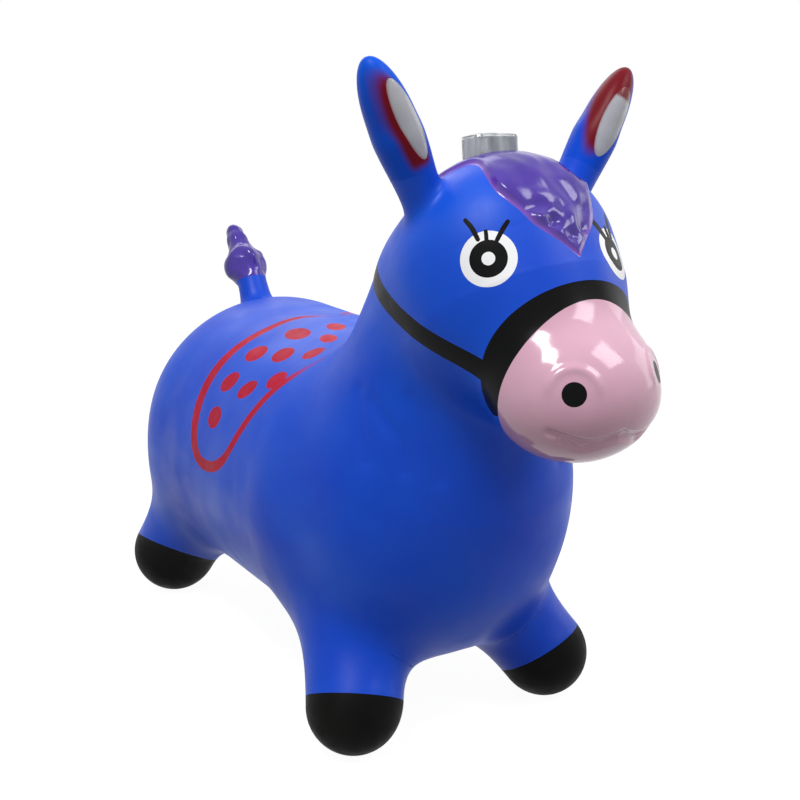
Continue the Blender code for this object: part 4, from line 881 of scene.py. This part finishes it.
def srgb(red, green, blue):
    shares = np.array((red, green, blue)) / 255
    return (*np.where(shares <= 0.04045, shares / 12.92, ((shares + 0.055) / 1.055) ** 2.4).tolist(), 1)


NOISE_DETAIL = 3.0


def add_node(tree, kind, links=(), **values):
    made = tree.nodes.new(kind)
    for key, value in values.items():
        if key in made.inputs:
            made.inputs[key].default_value = value
        else:
            setattr(made, key, value)
    for socket, source in links:
        tree.links.new(source, made.inputs[socket])
    return made


class Look:
    """A material's node tree, built step by step."""

    def __init__(self, name, colour, roughness, **more):
        self.material = bpy.data.materials.new(name)
        self.material.use_nodes = True
        self.tree = self.material.node_tree
        self.shader = self.tree.nodes["Principled BSDF"]
        self.shader.inputs["Base Color"].default_value = colour
        self.shader.inputs["Roughness"].default_value = roughness
        for socket, value in more.items():
            self.shader.inputs[socket.replace("_", " ")].default_value = value

    def node(self, kind, links=(), **values):
        return add_node(self.tree, kind, links, **values)

    def noise(self, scale, stretch=(1, 1, 1)):
        place = self.node("ShaderNodeTexCoord").outputs["Object"]
        mapped = self.node("ShaderNodeMapping", [("Vector", place)], Scale=stretch).outputs[0]
        made = self.node("ShaderNodeTexNoise", [("Vector", mapped)], Scale=scale, Detail=NOISE_DETAIL)
        return made.outputs["Fac"]

    def attribute(self, name):
        return self.node("ShaderNodeAttribute", attribute_name=name).outputs["Fac"]

    def spread(self, factor, low, high, start=0.3, end=0.7):
        """A factor's middle range turned into values between two others."""
        return self.node("ShaderNodeMapRange", [("Value", factor)], **{
            "From Min": start, "From Max": end, "To Min": low, "To Max": high}).outputs["Result"]

    def between(self, factor, first, second):
        """A colour between two, which may themselves come from nodes."""
        mix = self.node("ShaderNodeMix", data_type="RGBA")
        self.tree.links.new(factor, mix.inputs["Factor"])
        for socket, colour in (("A", first), ("B", second)):
            entry = [s for s in mix.inputs if s.name == socket and s.type == "RGBA"][0]
            if isinstance(colour, tuple):
                entry.default_value = colour
            else:
                self.tree.links.new(colour, entry)
        return [s for s in mix.outputs if s.type == "RGBA"][0]

    def tinted(self, colour):
        """Lets the pieces' tint attribute turn the colour into another."""
        base = self.shader.inputs["Base Color"].links[0].from_socket
        self.set("Base Color", self.between(self.attribute("tint"), base, colour))

    def set(self, socket, source):
        self.tree.links.new(source, self.shader.inputs[socket])

    def bumps(self, *layers):
        """Bump from noise layers of (scale, height in metres)."""
        last = None
        for scale, height in layers:
            links = [("Height", self.noise(scale))]
            if last:
                links.append(("Normal", last))
            last = self.node("ShaderNodeBump", links, Distance=height, Strength=1.0).outputs["Normal"]
        self.set("Normal", last)


def vinyl(name, colour, other, roughness, bumps, mottle=9, stretch=(1, 1, 1), **more):
    """A surface whose colour and gloss drift slightly from place to place."""
    look = Look(name, colour, roughness, **more)
    patches = look.spread(look.noise(mottle, stretch), 0, 1)
    look.set("Base Color", look.between(patches, colour, other))
    gloss = look.noise(mottle * GLOSS_FINENESS, stretch)
    look.set("Roughness", look.spread(gloss, *[roughness * share for share in GLOSS_SHARES]))
    look.bumps(*bumps)
    return look


GLOSS_FINENESS = 3
GLOSS_SHARES = (0.85, 1.2)
MATT_BUMPS = ((700, 0.00005), (60, 0.0003))
SATIN_BUMPS = ((900, 0.00003), (45, 0.00035))
GLOSS_BUMPS = ((260, 0.00002), (35, 0.0003))
PART_BUMPS = ((3000, 0.000006), (500, 0.00002))
PART_LOOKS = {
    "cap": ("light_cap", "light_button", "switch_plunger"),
    "grey": ("light_base", "battery_door"),
    "plug": ("air_plug",),
    "board": ("circuit_board",),
    "resin": ("flasher_chip",),
    "lens": ("lamp_left", "lamp_middle", "lamp_right"),
    "steel": ("press_switch", "shake_pin", "shake_spring", "button_cell_1", "button_cell_2", "button_cell_3",
              "battery_contact_left", "battery_contact_right", "door_screw_left", "door_screw_right"),
}
BLUE, DEEP_BLUE = srgb(6, 84, 214), srgb(2, 62, 194)
PURPLE, EDGE_PURPLE = srgb(72, 42, 160), srgb(120, 74, 180)
RED, PALE = srgb(186, 6, 50), srgb(176, 177, 182)
CRIMSON, FLOOR_PAINT = srgb(112, 4, 22), srgb(242, 242, 242)


def make_looks():
    looks = {
        "blue": vinyl("blue_vinyl_skin", BLUE, DEEP_BLUE, 0.44, SATIN_BUMPS, Specular_IOR_Level=0.25),
        "pink": vinyl("pink_vinyl_gloss", srgb(220, 172, 192), srgb(206, 154, 176), 0.12, GLOSS_BUMPS, 14),
        "purple": vinyl("purple_vinyl_gloss", PURPLE, srgb(54, 28, 138), 0.16, GLOSS_BUMPS, 40),
        "black": vinyl("black_vinyl_matt", srgb(15, 15, 15), srgb(24, 24, 23), 0.5, MATT_BUMPS, 30,
                       Specular_IOR_Level=0.04),
        "band": vinyl("black_print_gloss", srgb(9, 10, 10), srgb(15, 15, 16), 0.32, SATIN_BUMPS, 20,
                      Specular_IOR_Level=0.07),
        "white": vinyl("white_print_gloss", srgb(246, 246, 247), srgb(238, 239, 242), 0.35, SATIN_BUMPS, 20,
                       Specular_IOR_Level=0.2),
        "lining": vinyl("grey_print_gloss", PALE, srgb(160, 160, 168), 0.2, GLOSS_BUMPS, 40),
        "red": vinyl("red_print", RED, srgb(168, 4, 44), 0.42, SATIN_BUMPS, 30, Specular_IOR_Level=0.08),
        "ear": vinyl("blue_vinyl_ear", BLUE, DEEP_BLUE, 0.4, SATIN_BUMPS, Specular_IOR_Level=0.12),
        # The clear cap's colour runs in upright streaks between near white and grey; the light streaks are
        # painted highlights
        "cap": vinyl("clear_plastic_cap", srgb(236, 238, 240), srgb(168, 172, 178), 0.1, PART_BUMPS, 190,
                     (1, 1, 0.1), Transmission_Weight=0.75, IOR=1.47),
        "grey": vinyl("grey_plastic_moulded", srgb(122, 124, 128), srgb(108, 110, 114), 0.4, PART_BUMPS, 300),
        "plug": vinyl("white_plug_vinyl", srgb(226, 226, 221), srgb(214, 214, 208), 0.4, PART_BUMPS, 250),
        "board": vinyl("green_board_lacquer", srgb(18, 88, 48), srgb(44, 128, 76), 0.28, PART_BUMPS, 900),
        "resin": vinyl("black_resin_blob", srgb(14, 14, 15), srgb(26, 26, 28), 0.15, PART_BUMPS, 500),
        "lens": vinyl("red_lens_clear", srgb(214, 26, 26), srgb(180, 14, 18), 0.1, PART_BUMPS, 700,
                      Transmission_Weight=0.5),
        "steel": vinyl("plated_steel_bright", srgb(200, 200, 196), srgb(168, 168, 165), 0.3, PART_BUMPS, 700,
                       (1, 1, 0.15), Metallic=1.0),
    }
    for name, tint in (("ear", CRIMSON), ("red", BLUE), ("lining", CRIMSON), ("purple", EDGE_PURPLE)):
        looks[name].tinted(tint)
    return {name: look.material for name, look in looks.items()}


# Pieces

def make_mesh(name, points, triangles, normals, tint=None):
    mesh = bpy.data.meshes.new(name)
    mesh.from_pydata(points.tolist(), [], triangles.tolist())
    mesh.shade_smooth()
    mesh.normals_split_custom_set_from_vertices(normals.tolist())
    if tint is not None:
        layer = mesh.attributes.new("tint", "FLOAT", "POINT")
        layer.data.foreach_set("value", tint)
    return mesh


def add_piece(name, skin, zone, look, side=0, relief=None, tint=None):
    points, triangles = skin.piece(zone, side)
    shades = tint(points) if tint else None
    points, normals = relieved(points, relief) if relief else (points, normals_at(points))
    under = points[:, 2] < 0
    points[under, 2] = 0
    normals[under] = (0, 0, -1)
    item = add_object(name, make_mesh(name, points, triangles, normals, shades))
    item.data.materials.append(LOOKS[look])
    return item


def blush(name):
    """The crimson airbrush round an ear's lining."""
    shift, rise, half_width, half_length = BLUSHES[name]

    def tint(points):
        across, along, front = ear_place(mirrored_left(points))
        ring = np.hypot((across - shift) / half_width, (along - rise) / half_length)
        root = (mirrored_left(points) - EAR_SEAT) @ EAR_AXIS - EAR_ROOT_START
        shade = 1 - ramp(ring, 1 - BLUSH_SOFT_SHARE, 1 + BLUSH_SOFT_SHARE)
        return shade * ramp(front, -EAR_FRONT_FADE, EAR_FRONT_FADE) * ramp(root, 0, BLUSH_END)
    return tint


def lining_blush(name):
    """The crimson along the lining's rim on the photograph's left, and over the top of the left one."""
    side = SIDES[name]
    half_width, half_length = EAR_LININGS[name]

    def tint(points):
        across, along, _ = ear_place(mirrored_left(points))
        edge = np.hypot(across / half_width, along / half_length)
        rim = ramp(edge, *LINING_RIM_SHARES) * ramp(across * side, -LINING_RIM_FADE, LINING_RIM_FADE)
        top = ramp(along * side, LINING_TOP, LINING_TOP + LINING_TOP_FADE)
        return np.maximum(rim, top * (side > 0))
    return tint


def forelock_edge_tint(points):
    """The lighter, redder purple where the sprayed colour thins out."""
    return 1 - ramp(lock_edge(points), 0, FORELOCK_EDGE)


def flank_fade(points):
    """The print's line fades out at both of its ends."""
    plan = flank_plan(points)
    ends = np.minimum(*[lengths(plan - end) for end in (FLANK_LINE[0], FLANK_LINE[-1])])
    on_line = FLANK_STROKE(plan) < TINY
    return np.where(on_line, 1 - ramp(ends, 0, FLANK_FADE), 0)


def make_feet(skin):
    for end in LEGS:
        for name, side in SIDES.items():
            hoof = add_piece(f"hoof_surface_{end}_{name}", skin, "hoof_" + end, "black", side)
            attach(hoof, "feet")
            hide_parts(f"hoof_{end}_{name}")
            leg = add_piece(f"leg_surface_{end}_{name}", skin, "leg_" + end, "blue", side)
            flex = unit(LEG_FLEX_SHARES[end]) * (side, 1, 1)
            places = np.array([v.co for v in leg.data.vertices])
            low, high = ((places @ flex)[np.abs(on_both_sides(mask)(places)) < KERF]
                         for mask in (hoof_mask(end), leg_mask(end)))
            low, high = low.max(), high.min()
            base = mirrored(LEGS[end].end, side)
            start, finish = (base + flex * (value - base @ flex) for value in (low, high))
            tuple(start)
            tuple(finish)
            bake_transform(leg)
            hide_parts(f"leg_{end}_{name}")


def make_ears(skin):
    for name, side in SIDES.items():
        start = mirrored(EAR_SEAT + EAR_AXIS * EAR_ROOT_START, side)
        end = start + mirrored(EAR_AXIS * EAR_ROOT_LENGTH, side)
        ear = add_piece("ear_surface_" + name, skin, "ear", "ear", side, tint=blush(name))
        lining = add_piece("ear_lining_surface_" + name, skin, "lining", "lining", side,
                           tint=lining_blush(name))
        for item in (ear, lining):
            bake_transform(item)
        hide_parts("ear_root_" + name, "ear_" + name)
        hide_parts("ear_lining_" + name)


def make_tail(skin):
    tail = add_piece("tail_surface", skin, "tail", "blue")
    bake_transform(tail)
    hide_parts("tail_root", "tail_stub")
    tuft = add_piece("tuft_surface", skin, "tuft", "purple", relief=tuft_relief)
    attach(tuft, "tail")
    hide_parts("tail_tuft")


def make_body(skin):
    """Everything that rides on the body: its skin, its mouldings and its prints."""
    for name, zone, look, relief, nodes in (
            ("body_surface", "body", "blue", body_relief, ("torso_skin", "head_skin")),
            ("muzzle_surface", "muzzle", "pink", muzzle_relief, ("muzzle",)),
            ("noseband_surface", "noseband", "band", None, ("noseband_print",)),
            ("cheek_strap_surface", "strap", "band", None, ("cheek_strap_print",)),
            ("forelock_surface", "forelock", "purple", forelock_relief, ("forelock",))):
        tint = forelock_edge_tint if zone == "forelock" else None
        item = add_piece(name, skin, zone, look, relief=relief, tint=tint)
        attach(item, "body")
        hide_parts(*nodes)
    for name, side in SIDES.items():
        for zone, look in (("eye_ring", "white"), ("eye_iris", "band"), ("eye_dot", "white"),
                           ("nostril", "band")):
            relief = muzzle_relief if zone == "nostril" else None
            item = add_piece(f"{zone}_surface_{name}", skin, zone, look, side, relief)
            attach(item, "body")
            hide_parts(f"{zone}_{name}")
        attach(add_piece("lashes_" + name, skin, "lashes", "band", side), "body")
        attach(add_piece("flank_print_" + name, skin, "flank_print", "red", side, tint=flank_fade), "body")


def sunk(spot, axes, plan, depth):
    """Places at a depth under a spot, from their plan in the first two of three axes."""
    across, along, axis = axes
    return spot + plan[:, :1] * across + plan[:, 1:] * along - axis * depth


def on_skin(places, axis):
    return np.array([meet(place, axis) for place in places])


def make_well(name, rings, floor):
    """A lining inside the body through rings of places, closed below when it has a floor."""
    count = len(rings[0])
    first = np.arange(count)
    after = (first + 1) % count
    faces = []
    for low in range(0, count * (len(rings) - 1), count):
        faces += (np.column_stack((first, after, after + count, first + count)) + low).tolist()
    if floor:
        faces.append((first + count * (len(rings) - 1)).tolist())
    mesh = bpy.data.meshes.new(name)
    mesh.from_pydata(np.concatenate(rings).tolist(), [], faces)
    mesh.shade_smooth()
    mesh.set_sharp_from_angle(angle=WELL_SHARP_ANGLE)
    mesh.materials.append(LOOKS["blue"])
    item = add_object(name, mesh)
    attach(item, "body")


def make_wells():
    """The light's pocket and the valve's recess and bore."""
    turns = (np.arange(WELL_SEGMENTS) + 0.5) * 2 * pi / WELL_SEGMENTS
    circle = np.column_stack((np.cos(turns), np.sin(turns)))
    half = np.array((LIGHT_WIDTH, LIGHT_LENGTH)) / 2 + KERF - LIGHT_CORNER
    plan = circle * LIGHT_CORNER + np.sign(circle) * half
    axes = LIGHT_ACROSS, LIGHT_ALONG, LIGHT_AXIS
    bottom = sunk(LIGHT_MOUTH, axes, plan, POCKET_DEPTH)
    make_well("light_pocket_lining", (on_skin(bottom, LIGHT_AXIS), bottom), True)
    down = np.array((0, 0, -1))
    axes = np.array((0, 1, 0)), np.array((1, 0, 0)), down
    recess = sunk(VALVE_SPOT, axes, circle * (PLUG_HEAD_RADIUS + KERF), PLUG_RECESS)
    bore = sunk(VALVE_SPOT, axes, circle * VALVE_BORE_RADIUS, PLUG_RECESS)
    end = sunk(VALVE_SPOT, axes, circle * VALVE_BORE_END_RADIUS, VALVE_BORE_DEPTH)
    make_well("valve_lining", (on_skin(recess, down), recess, bore, end), False)


def dress_parts():
    """Gives the small parts that keep their own shapes their looks."""
    for look, names in PART_LOOKS.items():
        for name in names:
            for entry in NODES[name].material_slots:
                entry.material = LOOKS[look]


# Studio

def area_light(name, place, size, power):
    light = bpy.data.lights.new(name, "AREA")
    light.size = size
    light.energy = power
    item = add_object(name, light)
    item.location = place
    item.rotation_euler = (Vector(place) - Vector(LIGHTS_AIM)).to_track_quat("Z", "Y").to_euler()


def seen_directly(tree):
    """One where a ray comes straight from the camera, a reflection or a clear part."""
    path = add_node(tree, "ShaderNodeLightPath").outputs
    value = path["Is Camera Ray"]
    for other in ("Is Glossy Ray", "Is Transmission Ray"):
        links = [(0, value), (1, path[other])]
        value = add_node(tree, "ShaderNodeMath", links, operation="MAXIMUM").outputs[0]
    return value


def make_world():
    world = bpy.data.worlds.new("studio")
    world.use_nodes = True
    tree = world.node_tree
    share = add_node(tree, "ShaderNodeMapRange", [("Value", seen_directly(tree))],
                     **{"To Min": AMBIENT, "To Max": 1.0})
    back = tree.nodes["Background"].inputs
    back["Color"].default_value = (1, 1, 1, 1)
    tree.links.new(share.outputs["Result"], back["Strength"])
    bpy.context.scene.world = world


def make_floor():
    mesh = bpy.data.meshes.new("floor")
    corners = [(x * FLOOR_HALF, y * FLOOR_HALF, 0) for x, y in ((-1, -1), (1, -1), (1, 1), (-1, 1))]
    mesh.from_pydata(corners, [], [(0, 1, 2, 3)])
    floor = add_object("floor", mesh)
    look = Look("floor_paint", FLOOR_PAINT, FLOOR_ROUGHNESS)
    direct = seen_directly(look.tree)
    look.set("Base Color", look.between(direct, (*[FLOOR_BOUNCE_SHARE] * 3, 1), FLOOR_PAINT))
    glow = look.node("ShaderNodeEmission", Color=(1, 1, 1, 1), Strength=FLOOR_GLOW)
    share = look.spread(direct, 0, FLOOR_GLOW_SHARE, 0, 1)
    links = [("Fac", share), (1, look.shader.outputs[0]), (2, glow.outputs[0])]
    mix = look.node("ShaderNodeMixShader", links)
    look.tree.links.new(mix.outputs[0], look.tree.nodes["Material Output"].inputs["Surface"])
    mesh.materials.append(look.material)


def make_camera():
    data = bpy.data.cameras.new("camera")
    data.lens = CAMERA_LENS
    camera = add_object("camera", data)
    camera.location = CAMERA_PLACE
    camera.rotation_euler = Vector(outward(CAMERA_TURN, CAMERA_RISE)).to_track_quat("Z", "Y").to_euler()
    bpy.context.scene.camera = camera


LOOKS = make_looks()
SKIN = make_skin()
divide(SKIN)
make_feet(SKIN)
make_ears(SKIN)
make_tail(SKIN)
make_body(SKIN)
make_wells()
dress_parts()
make_world()
make_floor()
make_camera()
for light in STUDIO_LIGHTS:
    area_light(*light)
bpy.context.scene.view_settings.view_transform = "Standard"
